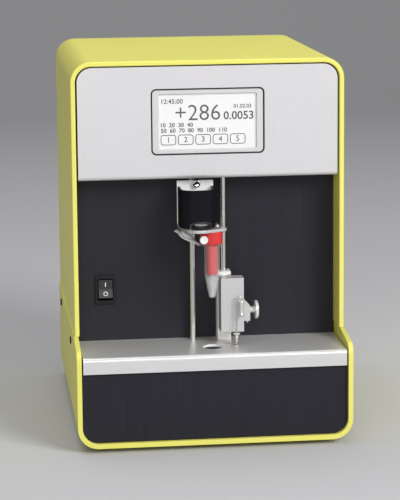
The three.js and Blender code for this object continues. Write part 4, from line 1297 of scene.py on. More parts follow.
    def build_rods(self) -> None:
        """Builds the two guide rods with eased ends."""
        wide, (low, high), (rise, run) = self.rod_radius, self.rod_z, self.rod_taper
        ends = [(wide - rise, low), (wide, low + run), (wide, high - run), (wide - rise, high)]
        for x, hand in zip(self.rod_xs, ("left", "right")):
            rod = turned(f"guide_rod_{hand}", Axis.Z, (x, self.rod_y, 0), ends)
            if x < 0:
                flat = self.rod_y + wide - self.rod_flat
                tall = beyond(self.rod_z)
                carve(rod, block("flat_tool", (-20, 0), (flat, flat + OVERRUN), tall))
            self.dress(rod, 0, "polished_rod", f"rod_{hand}")


@dataclass
class Display(Assembly):
    """The read-out in the silver panel: gasket, border, pane, screen, digits and numbered keys."""

    x: float = -0.3
    z: float = 234.1
    front: float = 35.0
    proud: float = 0.3
    rim_depth: float = 1.8
    border_depth: float = 1.6
    fit: float = 0.2
    outer: Span = (81.9, 47.5)
    outer_round: float = 3.5
    pane: Span = (80.7, 46.3)
    pane_round: float = 3.0
    pane_y: Span = (35.9, 36.4)
    pane_lap: float = 0.6
    screen: Span = (71.3, 40.1)
    screen_round: float = 0.9
    screen_lap: float = 3.0
    screen_face: float = 36.9
    screen_back: float = 37.4
    ink: float = 0.12
    key: Span = (11.2, 7.5)
    key_foot: Span = (1.45, 3.0)
    key_round: float = 1.9
    key_line: float = 0.5
    key_digit: float = 4.2
    key_pitch: float = 12.6
    keys: int = 5

    def outline(self, size: Sequence[float], radius: float) -> list[Span]:
        """Returns a centred rectangle's outline with round corners."""
        return rounded(around(self.x, size[0]), around(self.z, size[1]), radius, 6)

    def ring(self, name: str, outer: list[Span], inner: list[Span], y: Span) -> Piece:
        """Cuts one outline out of another.

        Args:
            name: The name of the ring.
            outer: Its outer outline.
            inner: The outline of its opening.
            y: Its span back.

        Returns:
            The ring.
        """
        opening = plate("opening_tool", Axis.Y, inner, beyond(y))
        return carve(plate(name, Axis.Y, outer, y), opening)

    def spot(self, right: float, up: float) -> Point:
        """Returns the point on the screen's face that is so far from its lower left corner."""
        left, low = self.x - self.screen[0] / 2, self.z - self.screen[1] / 2
        return (left + right, self.screen_face - self.ink / 2, low + up)

    def build_window(self) -> None:
        """Builds the dark gasket, the silver border behind the pane and the pane."""
        gasket = self.ring(
            "window_rim",
            self.outline(self.outer, self.outer_round),
            self.outline(self.pane, self.pane_round),
            (self.front - self.proud, self.front + self.rim_depth),
        )
        self.dress(gasket, 0.15, "black_moulding", "display_gasket")
        border = self.ring(
            "window_border",
            self.outline((self.pane[0] - self.fit, self.pane[1] - self.fit), self.pane_round),
            self.outline(self.screen, self.screen_round),
            (self.front + self.proud, self.front + self.border_depth),
        )
        self.dress(border, 0.25, "silver_panel", "display_window")
        size = [side + self.pane_lap for side in self.screen]
        pane = plate("window_pane", Axis.Y, self.outline(size, self.screen_round), self.pane_y)
        self.dress(pane, 0, "clear_pane", "display_window")

    def build_screen(self) -> None:
        """Builds the screen's pale face behind the pane."""
        outline = self.outline([side + self.screen_lap for side in self.screen], self.screen_round)
        face = plate("screen_face", Axis.Y, outline, (self.screen_face, self.screen_back))
        self.dress(face, 0.1, "screen_white")

    def build_keys(self) -> None:
        """Builds the outlines and numbers of the five keys along the screen's foot."""
        left, _, low = self.spot(*self.key_foot)
        x, z = (left, left + self.key[0]), (low, low + self.key[1])
        line = self.key_line
        y = (self.screen_face - self.ink, self.screen_face)
        inner = rounded(
            (x[0] + line, x[1] - line), (z[0] + line, z[1] - line), self.key_round - line, 4
        )
        key = self.ring("screen_keys", rounded(x, z, self.key_round, 4), inner, y)
        steps = [(self.key_pitch * step, 0.0, 0.0) for step in range(1, self.keys)]
        self.dress(repeat(key, steps), 0, "screen_ink")
        marks = []
        for step in range(self.keys):
            right = self.key_foot[0] + self.key[0] / 2 + self.key_pitch * step
            mark = self.spot(right, self.key_foot[1] + self.key[1] / 2)
            marks.append(lettering("key_number", str(step + 1), mark, self.key_digit, self.ink))
        self.dress(gather("key_numbers", marks), 0, "screen_ink")

    def build_reading(self) -> None:
        """Builds the plain numbers of the reading."""
        lines = (
            ("reading", "+286", (28.4, 25.7), 12.0, -0.14),
            ("second_reading", "0.0053", (58.3, 23.5), 6.0, 0.12),
            ("hour", "12:45:00", (9.6, 34.5), 3.5, 0.05),
            ("counter", "01.02.03", (61.1, 30.3), 2.8, 0.05),
            ("first_row", "10  20  30  40", (13.0, 17.4), 3.1, 0.07),
            ("second_row", "50  60  70  80  90  100  110", (25.6, 13.4), 3.1, 0.07),
        )
        numbers = [
            lettering(name, words, self.spot(*middle), height, self.ink, weight)
            for name, words, middle, height, weight in lines
        ]
        reading = gather("screen_reading", numbers)
        self.dress(reading, 0, "screen_ink")

    def build_module(self) -> None:
        """Finishes the screen's own module, which keeps its shape."""
        self.coat("board_green", "screen_module")


@dataclass
class Head(Assembly):
    """The measuring head on the left rod: bracket, bush, cover, motor, collar and probe."""

    body: ClassVar[Body] = Body.HEAD
    plate_x: Span = (-22.4, 4.2)
    plate_y: Span = (44.0, 45.5)
    under: float = 155.7
    flange: float = 157.9
    top: float = 190.0
    rod: Span = (-10.8, 51.0)
    bush_width: float = 13.0
    bush_back: float = 55.8
    bush_top: float = 183.9
    bore: float = 2.45
    cover_x: Span = (-21.9, 3.9)
    cover_y: Span = (21.0, 43.7)
    cover_top: float = 185.8
    cover_wall: float = 1.5
    cover_round: float = 9.5
    arch: Span = (16.0, 5.1)
    motor: Span = (-7.6, 21.8)
    lobe: Point = (-8.5, 24.0, 10.6)
    tube: Span = (0.6, 25.0)
    rim: float = 146.6
    ear_x: float = -6.1
    ear_rise: float = 3.8
    tab: float = 11.2
    tab_back: float = 28.8
    beside: float = 3.0
    plate_screw: Span = (-8.2, 187.6)
    plate_socket: Span = (1.5, 2.4)
    tab_screw: Span = (5.6, 33.3)
    sleeve_low: float = 123.85
    sleeve_bore: float = 2.8

    def build_bracket(self) -> None:
        """Builds the bracket's lobed flange and upright plate, and the bush behind it."""
        left, right = self.plate_x
        back = self.plate_y[1]
        x, y, radius = self.lobe
        tab, side = self.tab, right + self.beside
        outline = [
            (left, back),
            (left, 38.0),
            (left + 1.8, 29.0),
            *arc((x, y), radius, 172.8, 291.6, 24),
            (tab - 1.5, 21.25),
            (tab - 0.7, 21.7),
            (tab - 0.2, 22.4),
            (tab, 23.5),
            (tab, self.tab_back),
            (side, self.tab_back),
            (side, back),
        ]
        flange = plate("head_flange", Axis.Z, outline, (self.under, self.flange))
        upright = block("head_plate", self.plate_x, self.plate_y, (self.flange, self.top))
        for piece, finish in ((flange, "bright_flange"), (upright, "pale_bracket")):
            self.dress(piece, 0.3, finish, "head_bracket", steps=3)
        tall = (self.flange, self.bush_top)
        bush = block(
            "rod_bush", around(self.rod[0], self.bush_width), (back, self.bush_back), tall
        )
        carve(bush, drum("bore_tool", Axis.Z, (*self.rod, 0), beyond(tall), self.bore, 40))
        self.dress(bush, 0.4, "machined_aluminium", "head_bush")

    def cover_outline(self, inset: float, back: float) -> list[Span]:
        """Draws the cover's outline moved inwards, its front corners round.

        Args:
            inset: How far it is moved inwards.
            back: The Y of its back.

        Returns:
            The outline in X and Y.
        """
        left, right = self.cover_x[0] + inset, self.cover_x[1] - inset
        front = self.cover_y[0] + inset
        radius = self.cover_round - inset
        return [
            (right, back),
            (left, back),
            *arc((left + radius, front + radius), radius, 180, 270, 8),
            *arc((right - radius, front + radius), radius, 270, 360, 8),
        ]

    def build_cover(self) -> None:
        """Builds the black cover, open above and behind, with its arch over the motor."""
        low, high = self.flange, self.cover_top
        cover = plate("motor_cover", Axis.Z, self.cover_outline(0, self.cover_y[1]), (low, high))
        inner = self.cover_outline(self.cover_wall, self.cover_y[1] + OVERRUN)
        hollow = plate("hollow_tool", Axis.Z, inner, beyond((low, high)))
        middle, half, rise = self.motor[0], self.arch[0] / 2, self.arch[1]
        curve = [
            (middle + half * (1 - share**2), low + rise / 2 + rise / 2 * (1 - (1 - share) ** 2))
            for share in [step / 8 for step in range(9)]
        ]
        mirrored = [(2 * middle - x, z) for x, z in reversed(curve[:-1])]
        ends = [(middle - half, low - OVERRUN), (middle + half, low - OVERRUN)]
        span = (self.cover_y[0] - OVERRUN, self.cover_y[0] + self.cover_round)
        arch = plate("arch_tool", Axis.Y, [*ends, *curve, *mirrored], span)
        ease(carve(cover, hollow), 0.35, 3)
        self.dress(carve(cover, arch), 0, "black_cover", "head_cover")

    def build_motor(self) -> None:
        """Builds the stirring motor's black base and dished chrome cap."""
        foot = (*self.motor, 0)
        low = self.flange
        base = [
            (7.0, low), (7.0, low + 1.8), (6.7, low + 2.1), (5.9, low + 2.1), (5.9, low + 2.6),
            (5.6, low + 2.9), (4.9, low + 2.9), (4.9, low + 2.3), (0.0, low + 2.3),
        ]
        self.dress(turned("motor_seat", Axis.Z, foot, base, 56), 0, "black_moulding", "motor_base")
        cap = [
            (4.8, low + 2.3), (4.8, low + 2.75), (4.6, low + 2.95), (4.0, low + 2.95),
            (3.8, low + 2.8), (0.0, low + 2.8),
        ]
        self.dress(turned("motor_dome", Axis.Z, foot, cap, 56), 0, "satin_nickel", "motor_cap")

    def build_screws(self) -> None:
        """Builds the socket screw in the plate and the slotted screw on the flange."""
        x, z = self.plate_screw
        back = self.plate_y[0]
        face = back - 3.0
        head = [(2.75, back), (2.75, face + 0.4), (2.4, face), (0.0, face)]
        screw = turned("plate_screw_head", Axis.Y, (x, 0, z), head, 36)
        radius, depth = self.plate_socket
        deep = (face - OVERRUN, face + depth)
        carve(screw, drum("socket", Axis.Y, (x, 0, z), deep, radius, 6))
        self.dress(screw, 0.12, "bright_chrome", "plate_screw")
        (x, y), low = self.tab_screw, self.flange
        profile = [(1.5, low), (1.5, low + 0.7), (1.1, low + 1.0), (0.0, low + 1.0)]
        screw = turned("flange_screw", Axis.Z, (x, y, 0), profile, 24)
        slot = block("slot", around(x, 8), around(y, 0.5), (low + 0.5, low + OVERRUN))
        self.dress(carve(screw, slot), 0, "bright_nickel", "tab_screw")

    def build_collar(self) -> None:
        """Builds the red collar with its ear, and the pale clamp screw in it."""
        low, high = self.rim, self.under
        foot = (*self.tube, 0)
        profile = [(7.5, low), (7.7, low + 0.2), (7.7, high - 0.2), (7.5, high), (0.0, high)]
        collar = turned("probe_collar_ring", Axis.Z, foot, profile, 64)
        middle = low + self.ear_rise
        weld(collar, block("ear", around(self.ear_x, 3.6), (18.0, 26.0), around(middle, 6.0)))
        carve(collar, drum("bore", Axis.Y, (self.ear_x, 0, middle), (13.0, 24.3), 1.5, 24))
        self.dress(collar, 0.25, "red_moulding", "probe_collar")
        head = [
            (1.2, 24.0), (1.2, 18.0), (2.75, 18.0), (3.0, 17.75), (3.0, 16.6), (2.7, 16.2),
            (2.1, 16.2), (1.8, 16.45), (0.0, 16.45),
        ]
        screw = turned("clamp_knob", Axis.Y, (self.ear_x, 0, middle), head, 36)
        self.dress(screw, 0, "white_moulding", "clamp_screw", Body.CLAMP)

    def build_probe(self) -> None:
        """Builds the red sleeve and the thermistor probe inside it."""
        foot, low = (*self.tube, 0), self.sleeve_low
        profile = [(3.95, self.rim), (3.95, low + 0.4), (3.65, low), (0.0, low)]
        sleeve = turned("probe_guard", Axis.Z, foot, profile, 48)
        tall = (low - OVERRUN, self.rim - 1.0)
        carve(sleeve, drum("bore", Axis.Z, foot, tall, self.sleeve_bore, 40))
        self.dress(sleeve, 0, "red_moulding", "probe_sleeve")
        pin = [(0.3, 109.6), (0.8, 109.9), (1.0, 110.7), (1.0, 145.6), (0.0, 145.6)]
        probe = turned("probe_pin", Axis.Z, foot, pin, 20)
        self.dress(probe, 0, "polished_rod", "thermistor_probe")


@dataclass
class Tube(Assembly):
    """The sample tube on the probe, with its lid open on its hinge."""

    body: ClassVar[Body] = Body.HEAD
    centre: Span = (0.6, 25.0)
    rim: float = 146.6
    rim_radius: float = 6.25
    rim_height: float = 2.0
    radius: float = 5.45
    wall: float = 0.9
    cone_top: float = 123.4
    tip: float = 106.4
    tip_radius: float = 2.5
    tip_height: float = 1.4
    marks: Point = (4.0, 7.0, 10.0)
    hinge: Point = (-7.965, 28.994, 144.6)
    bearing: float = -25.0
    lid_angle: float = 28.0
    lid_centre: float = -11.6
    lid_radius: float = 6.7
    lid_sheet: float = 1.2
    strap: Span = (4.0, 0.8)
    tab_end: float = -20.9
    plug: Span = (4.6, 3.4)

    def build_body(self) -> None:
        """Builds the tube's wall as one turned skin with the hinge's ear."""
        low, under = self.tip, self.rim - self.rim_height
        start = low + self.tip_height
        slope = (self.radius - self.tip_radius) / (self.cone_top - start)
        marks = []
        for rise in self.marks:
            radius, height = self.tip_radius + slope * rise, start + rise
            marks += [(radius, height), (radius + 0.14, height + 0.15)]
            marks += [(radius + 0.18, height + 0.3), (radius + slope * 0.45, height + 0.45)]
        inner = self.radius - self.wall
        profile = [
            (0.9, low), (1.6, low + 0.2), (2.15, low + 0.6), (self.tip_radius, start),
            *marks,
            (self.radius, self.cone_top),
            (self.radius, under),
            (self.rim_radius - 0.15, under),
            (self.rim_radius, under + 0.15),
            (self.rim_radius, self.rim - 0.2),
            (self.rim_radius - 0.2, self.rim),
            (inner + 0.1, self.rim),
            (inner, self.rim - 0.1),
            (inner, self.cone_top),
            (self.tip_radius - self.wall, start),
            (0.9, low + 0.9),
            (0.0, low + 0.9),
        ]
        tube = turned("tube_wall", Axis.Z, (*self.centre, 0), profile, 64)
        ear = block(
            "ear", (-9.25, -5.2), around(HALF_DEPTH, self.strap[0]), (under, under + self.strap[1])
        )
        weld(tube, hang(ear, Axis.Z, self.bearing, (*self.centre, 0)))
        self.dress(tube, 0, "milky_tube", "sample_tube")

    def build_lid(self) -> None:
        """Builds the lid flat about its hinge line, then hangs it open."""
        middle = self.lid_centre
        foot = (middle, HALF_DEPTH, 0)
        sheet = self.lid_sheet
        radius, high = self.plug
        profile = [
            (self.lid_radius - 0.2, 0.0), (self.lid_radius, 0.2), (self.lid_radius, sheet - 0.2),
            (self.lid_radius - 0.2, sheet), (radius, sheet), (radius, high - 0.3),
            (radius - 0.25, high), (radius - 0.65, high), (radius - 0.9, high - 0.3),
            (radius - 0.9, sheet), (0.0, sheet),
        ]
        lid = turned("lid_disc", Axis.Z, foot, profile, 56)
        width, thick = self.strap
        strap = block("strap", (middle, -0.1), around(HALF_DEPTH, width), (0, thick))
        tab = block("tab", (self.tab_end, middle), around(HALF_DEPTH, width + 1), (0, thick))
        weld(lid, strap, tab)
        ease(lid, 0.12)
        hang(lid, Axis.Y, self.lid_angle, (0, HALF_DEPTH, 0))
        hang(lid, Axis.Z, self.bearing, self.hinge)
        self.dress(lid, None, "milky_lid", "tube_lid", Body.LID)


@dataclass
class Carriage(Assembly):
    """The needle carriage: post, sliding block, arm, thumb screw, chuck, needle and guides."""

    body: ClassVar[Body] = Body.CARRIAGE
    rod: Span = (12.0, 51.0)
    post_y: Span = (45.5, 56.5)
    post_width: float = 10.0
    post_z: Span = (70.0, 121.3)
    rail_z: Span = (78.8, 119.0)
    neck: Span = (4.0, 43.7)
    rail: Span = (6.4, 41.9)
    slide: float = 0.3
    block_x: Span = (7.5, 24.4)
    block_y: Span = (29.3, 40.6)
    block_z: Span = (79.3, 119.3)
    arm_y: Span = (30.6, 38.6)
    arm_end: float = 29.2
    arm_low: float = 86.9
    thumb_z: float = 94.6
    needle_x: float = 18.3
    needle_y: float = 26.0
    chuck_x: float = 21.95
    balls: Span = (93.1, 102.0)
    ball: float = 1.9
    bend: float = 104.2
    needle_low: float = 70.2
    needle_radius: float = 0.55
    nozzle_bore: float = 0.7
    ring_bore: float = 1.15
    rod_bore: float = 2.45
    throat_y: Span = (43.0, 47.0)
    set_x: float = 27.52

    def build_post(self) -> None:
        """Builds the post round the right rod, with its T-shaped rail in front."""
        x = self.rod[0]
        post = block("carriage_post", around(x, self.post_width), self.post_y, self.post_z)
        neck = block("neck", around(x, self.neck[0]), (self.neck[1], self.throat_y[1]), self.rail_z)
        rail = block("rail", around(x, self.rail[0]), (self.rail[1], self.neck[1]), self.rail_z)
        ease(weld(post, neck, rail), 0.25)
        tall = beyond(self.post_z)
        carve(post, drum("bore", Axis.Z, (*self.rod, 0), tall, self.rod_bore, 40))
        self.dress(post, 0, "satin_post", "needle_post", Body.CABINET)

    def build_block(self) -> None:
        """Builds the sliding block with its saddle and the slot for the rail."""
        x = self.rod[0]
        left = self.block_x[0]
        carrier = block("carriage_block", self.block_x, self.block_y, self.block_z)
        saddle = block(
            "saddle", (left, x + self.post_width / 2),
            (self.block_y[0], self.post_y[0] - self.slide), self.block_z,
        )
        tall = beyond(self.block_z)
        slot = block(
            "rail_slot", around(x, self.rail[0] + 2 * self.slide),
            (self.rail[1] - self.slide, self.neck[1] + self.slide), tall,
        )
        wide = around(x, self.neck[0] + 2 * self.slide)
        throat = block("throat", wide, self.throat_y, tall)
        carve(weld(carrier, saddle), slot, throat)
        self.dress(carrier, 0.35, "machined_aluminium", "needle_block", steps=3)

    def build_arm(self) -> None:
        """Builds the sloped clamp arm, its set screw and the domed thumb screw."""
        start, end, low = self.block_x[1], self.arm_end, self.arm_low
        middle = sum(self.arm_y) / 2
        foot = (self.set_x, middle, 0)
        outline = [(start, low), (end, low), (end, low + 11.0), (start, low + 16.4)]
        arm = plate("clamp_arm", Axis.Y, outline, self.arm_y)
        carve(
            arm,
            drum("core_bore", Axis.X, (0, middle, self.thumb_z), (end - 3.6, end + 5), 1.5, 24),
            drum("set_bore", Axis.Z, foot, (low - OVERRUN, low + 2.9), 1.1, 24),
        )
        self.dress(arm, 0.3, "machined_aluminium", "needle_arm", steps=3)
        tip = [(0.5, low - 1.9), (0.9, low - 1.5), (0.9, low + 2.6), (0.0, low + 2.6)]
        screw = turned("set_screw_stud", Axis.Z, foot, tip, 24)
        self.dress(screw, 0, "bright_chrome", "set_screw")
        knob = [
            (1.3, end - 3.4), (1.3, end), (2.35, end), (2.35, end + 3.7), (6.2, end + 3.7),
            (6.6, end + 3.85), (6.75, end + 4.2), (6.75, end + 5.3), (6.55, end + 5.8),
            (6.1, end + 6.1), (5.0, end + 6.4), (3.4, end + 6.7), (1.7, end + 6.85),
            (0.0, end + 6.9),
        ]
        thumb = turned("thumb_knob", Axis.X, (0, middle, self.thumb_z), knob, 56)
        self.dress(thumb, 0, "satin_nickel", "thumb_screw", Body.THUMB)

    def build_chuck(self) -> None:
        """Builds the chuck with a ball at each end and its stub to the block."""
        foot = (self.chuck_x, self.needle_y, 0)
        low, high = self.balls
        waist, ball = 1.25, self.ball
        start = math.degrees(math.acos(waist / ball))
        below = [
            (ball * math.cos(math.radians(a)), low + ball * math.sin(math.radians(a)))
            for a in (-75, -55, -35, -15, 0, 15, 30, start)
        ]
        above = [(radius, low + high - height) for radius, height in reversed(below)]
        profile = [(0.35, low - ball), *below, *above, (0.35, high + ball), (0.0, high + ball)]
        chuck = turned("needle_clamp", Axis.Z, foot, profile, 32)
        middle = (low + high) / 2
        stub = drum("stub", Axis.Y, (foot[0], 0, middle), (foot[1], self.block_y[0]), 1.1, 24)
        weld(chuck, stub)
        self.dress(chuck, 0, "bright_nickel", "needle_chuck")

    def build_needle(self) -> None:
        """Builds the needle, bent over on to the chuck, its guide and its ring in the shelf."""
        radius = (self.chuck_x - self.needle_x) / 2
        crown = self.needle_x + radius
        points = [(self.needle_x, self.needle_y, self.needle_low)]
        points += [
            (crown - radius * math.cos(a), self.needle_y, self.bend + radius * math.sin(a))
            for a in [math.radians(15 * step) for step in range(13)]
        ]
        needle = wire("needle_wire", points, self.needle_radius)
        self.dress(needle, 0, "polished_rod", "needle")
        foot = (self.needle_x, self.needle_y, 0)
        top = self.block_z[0] - self.slide
        drops = [
            (2.6, 0.0), (2.6, 0.6), (1.0, 1.9), (1.0, 2.2), (1.6, 2.4), (1.75, 2.6), (1.6, 2.8),
            (1.0, 3.0), (1.0, 4.0), (1.6, 4.15), (1.75, 4.35), (1.6, 4.55), (1.0, 4.7),
            (1.15, 5.8), (0.0, 5.8),
        ]
        profile = [(radius, top - drop) for radius, drop in drops]
        nozzle = turned("needle_guide", Axis.Z, foot, profile, 32)
        carve(nozzle, drum("bore", Axis.Z, foot, (70, 85), self.nozzle_bore, 16))
        self.dress(nozzle, 0, "bright_nickel", "needle_nozzle")
        ring = turned(
            "shelf_bush", Axis.Z, foot, [(1.9, 70.0), (1.9, 70.3), (1.65, 70.5), (0.0, 70.5)], 32
        )
        carve(ring, drum("bore", Axis.Z, foot, (69, 72), self.ring_bore, 24))
        self.dress(ring, 0, "bright_nickel", "needle_ring", Body.CABINET)


@dataclass
class Switch(Assembly):
    """The mains switch: bezel, pocket and the rocker with its I and O."""

    x: float = -74.8
    z: float = 108.3
    face: float = 57.0
    bezel: Span = (15.0, 21.5)
    pocket: Span = (11.2, 15.8)
    pivot: float = 59.2
    angle: float = -9.0
    half_width: float = 5.2
    mark: float = 0.12
    stroke: Span = (1.7, 4.8)
    zero: float = -3.4
    zero_lean: float = -8.7
    body_size: Point = (12.6, 19.8, 19.0)
    pocket_floor: float = 63.5
    half_height: float = 6.7

    def face_y(self, z: float) -> float:
        """Returns the rocker face's distance back from its pivot at a height."""
        return -4.5 - 1.1 * abs(z) / self.half_height

    def build_body(self) -> None:
        """Builds the bezel and the body behind it."""
        outline = rounded(around(self.x, self.bezel[0]), around(self.z, self.bezel[1]), 0.8, 5)
        bezel = plate("switch_bezel", Axis.Y, outline, (self.face - 1.6, self.face))
        wide, deep, high = self.body_size
        back = self.face - 0.8
        body = block("body", around(self.x, wide), (back, back + deep), around(self.z, high))
        pocket = block(
            "pocket", around(self.x, self.pocket[0]), (self.face - OVERRUN, self.pocket_floor),
            around(self.z, self.pocket[1]),
        )
        carve(weld(bezel, body), pocket)
        self.dress(bezel, 0.3, "black_moulding", "switch_body", steps=3)

    def build_rocker(self) -> None:
        """Builds the rocker about its pivot and hangs it pressed in at the top."""
        base = HALF_DEPTH
        outline = [
            (base - 5.6, 6.7), (base - 5.05, 3.35), (base - 4.62, 1.1), (base - 4.55, 0.0),
            (base - 4.62, -1.1), (base - 5.05, -3.35), (base - 5.6, -6.7), (base, -6.3),
            (base + 2.6, -3.0), (base + 2.6, 3.0), (base, 6.3),
        ]
        half = self.half_width
        rocker = plate("rocker_key", Axis.X, outline, (-half, half))
        ease(rocker, 0.35, 3)
        pivot = (self.x, self.pivot, self.z)
        hang(rocker, Axis.X, self.angle, pivot)
        self.dress(rocker, None, "grey_rocker", "switch_rocker", Body.ROCKER)
        low, high = self.stroke
        skin = self.mark
        stroke = plate(
            "on_mark", Axis.X,
            [
                (base + self.face_y(low) - skin, low), (base + self.face_y(low) + skin, low),
                (base + self.face_y(high) + skin, high), (base + self.face_y(high) - skin, high),
            ],
            (-0.3, 0.3),
        )
        hang(ease(stroke, 0), Axis.X, self.angle, pivot)
        self.dress(stroke, None, "white_moulding", body=Body.ROCKER)
        zero = drum("off_mark", Axis.Y, (0, 0, 0), (base - skin, base + skin), 1.6, 36)
        carve(zero, drum("bore", Axis.Y, (0, 0, 0), (base - 5, base + 5), 1.15, 36))
        hang(zero, Axis.X, self.zero_lean, (0, base + self.face_y(self.zero), self.zero))
        hang(ease(zero, 0), Axis.X, self.angle, pivot)
        self.dress(zero, None, "white_moulding", body=Body.ROCKER)


@dataclass
class Rear(Assembly):
    """The rear panel with the mains inlet, the fuse drawer, the serial port and the fan."""

    half: float = 95.4
    z: Span = (7.3, 274.7)
    y: Span = (236.0, 238.0)
    corner: float = 11.2
    inlet_x: float = -58.0
    inlet_z: float = 46.5
    inlet: Span = (34.0, 46.0)
    inlet_hole: Span = (28.6, 40.6)
    inlet_body: Span = (28.0, 40.0)
    socket_low: float = 30.5
    flange: float = 239.8
    bay_width: float = 22.6
    bay_z: Span = (52.2, 62.8)
    drawer_width: float = 22.0
    drawer_z: Span = (52.5, 62.5)
    drawer_wall: float = 1.0
    serial_x: float = 20.0
    serial_z: float = 45.5
    serial_hole: Span = (17.6, 9.0)
    serial_face: float = 235.2
    fan_x: float = 42.0
    fan_z: float = 153.5
    grille: float = 28.0
    slot: float = 3.2
    slot_pitch: float = 5.4

    def build_panel(self) -> None:
        """Builds the painted rear panel with its openings and the fan's slots."""
        outline = rounded((-self.half, self.half), self.z, self.corner, 12)
        panel = plate("rear_sheet", Axis.Y, outline, self.y)
        deep, (wide, high) = beyond(self.y), self.serial_hole
        hole = rounded(
            around(self.inlet_x, self.inlet_hole[0]), around(self.inlet_z, self.inlet_hole[1]), 1
        )
        tools = [
            plate("inlet_tool", Axis.Y, hole, deep),
            block("serial_tool", around(self.serial_x, wide), deep, around(self.serial_z, high)),
        ]
        for row in range(-4, 5):
            rise = row * self.slot_pitch
            length = 2 * math.sqrt(self.grille**2 - rise**2)
            opening = rounded(
                around(self.fan_x, length), around(self.fan_z + rise, self.slot),
                self.slot / 2 - 0.01, 5,
            )
            tools.append(plate("slot_tool", Axis.Y, opening, deep))
        carve(panel, *tools)
        self.dress(panel, 0.2, "grey_rear_paint", "rear_panel")

    def build_inlet(self) -> None:
        """Builds the mains inlet with its three pins and the fuse drawer's bay."""
        x, z, back = self.inlet_x, self.inlet_z, self.flange
        outline = rounded(around(x, self.inlet[0]), around(z, self.inlet[1]), 2.5, 6)
        inlet = plate("inlet_flange", Axis.Y, outline, (self.y[1], back))
        wide, high = self.inlet_body
        body = block("body", around(x, wide), (back - 24, back - 0.9), around(z, high))
        low = self.socket_low
        socket = [
            (x - 12, low), (x + 12, low), (x + 12, low + 12), (x + 7.5, low + 16.5),
            (x - 7.5, low + 16.5), (x - 12, low + 12),
        ]
        recess = plate("recess", Axis.Y, socket, (back - 17, back + OVERRUN))
        deep = (back - 18.3, back + OVERRUN)
        bay = block("bay", around(x, self.bay_width), deep, self.bay_z)
        carve(weld(inlet, body), recess, bay)
        self.dress(inlet, 0.4, "black_moulding", "mains_inlet", steps=3)
        pin = block("inlet_pins", around(x - 7, 2.0), (back - 17.4, back - 3), (36.0, 41.0))
        pins = repeat(ease(pin, 0.4, 3), [(7.0, 0.0, 3.0), (14.0, 0.0, 0.0)])
        self.dress(pins, None, "bright_nickel", "mains_inlet")

    def build_drawer(self) -> None:
        """Builds the fuse drawer with its finger lip."""
        x, back = self.inlet_x, self.flange
        wide, wall, (low, high) = self.drawer_width, self.drawer_wall, self.drawer_z
        drawer = block("fuse_holder", around(x, wide), (back - 18, back), (low, high))
        deep = (back - 18 + wall, back - wall)
        hollow = block("hollow", around(x, wide - 2 * wall), deep, (low + wall, high + 2.5))
        lip = block("lip", around(x, wide / 2), (back - wall, back + 0.2), (low, low + wall))
        weld(carve(drawer, hollow), lip)
        self.dress(drawer, 0.15, "black_moulding", "fuse_drawer", Body.TRAY)

    def build_serial(self) -> None:
        """Builds the nine-pin port: its shell with its flange, its body and its pins."""
        x, z = self.serial_x, self.serial_z
        face = self.serial_face
        shell = plate("serial_shell", Axis.Y, self.shell_outline(0), (face, face + 4.4))
        carve(shell, plate("hollow", Axis.Y, self.shell_outline(0.5), (face + 1.2, face + 9.8)))
        flange = block("flange", around(x, 31.0), (face, face + 0.8), around(z, 12.5))
        weld(shell, flange)
        self.dress(shell, 0.15, "zinc_sheet", "serial_port")
        body = block("serial_body", around(x, 29.0), (face - 10, face + 0.1), around(z, 11.5))
        self.dress(body, 0.4, "black_moulding", "serial_port")
        pin = drum("serial_pins", Axis.Y, (x - 5.5, 0, z + 1.4), (face + 0.8, face + 3.6), 0.5, 12)
        upper = [(2.75 * step, 0.0, 0.0) for step in range(1, 5)]
        lower = [(1.375 + 2.75 * step, 0.0, -2.8) for step in range(4)]
        pins = repeat(ease(pin, 0.2), upper + lower)
        self.dress(pins, None, "bright_nickel", "serial_port")

    def shell_outline(self, inset: float) -> list[Span]:
        """Draws the D-shaped outline of the port, moved inwards.

        Args:
            inset: How far it is moved inwards.

        Returns:
            The outline in X and Z.
        """
        x, z = self.serial_x, self.serial_z
        top, foot, half = 8.5 - inset, 7.3 - inset, 4.2 - inset
        return [
            *arc((x - foot + 1, z - half + 1), 1.0, 190, 270, 4),
            *arc((x + foot - 1, z - half + 1), 1.0, 270, 350, 4),
            *arc((x + top - 1, z + half - 1), 1.0, -10, 90, 4),
            *arc((x - top + 1, z + half - 1), 1.0, 90, 190, 4),
        ]

    def build_fan(self) -> None:
        """Finishes the fan, which keeps its shape."""
        self.coat("black_moulding", "fan_frame", "fan_rotor")


@dataclass
class Insides(Assembly):
    """The parts inside that keep the frame's own shapes."""

    def build_finishes(self) -> None:
        """Puts a finish on each."""
        # The chassis's near-black finish is painted shade for the gap beside the bay panel.
        self.coat("painted_shade_zinc", "chassis")
        self.coat("zinc_sheet", "shelf_angle_left", "shelf_angle_right", "power_supply")
        self.coat("machined_aluminium", "rod_bridge", "rod_anchor", "heat_sink")
        # The cold block's near-black finish is painted shade in the well's bore.
        self.coat("painted_shade_aluminium", "cold_block")
        self.coat("white_moulding", "cooler_plate")
        self.coat("board_green", "main_board")


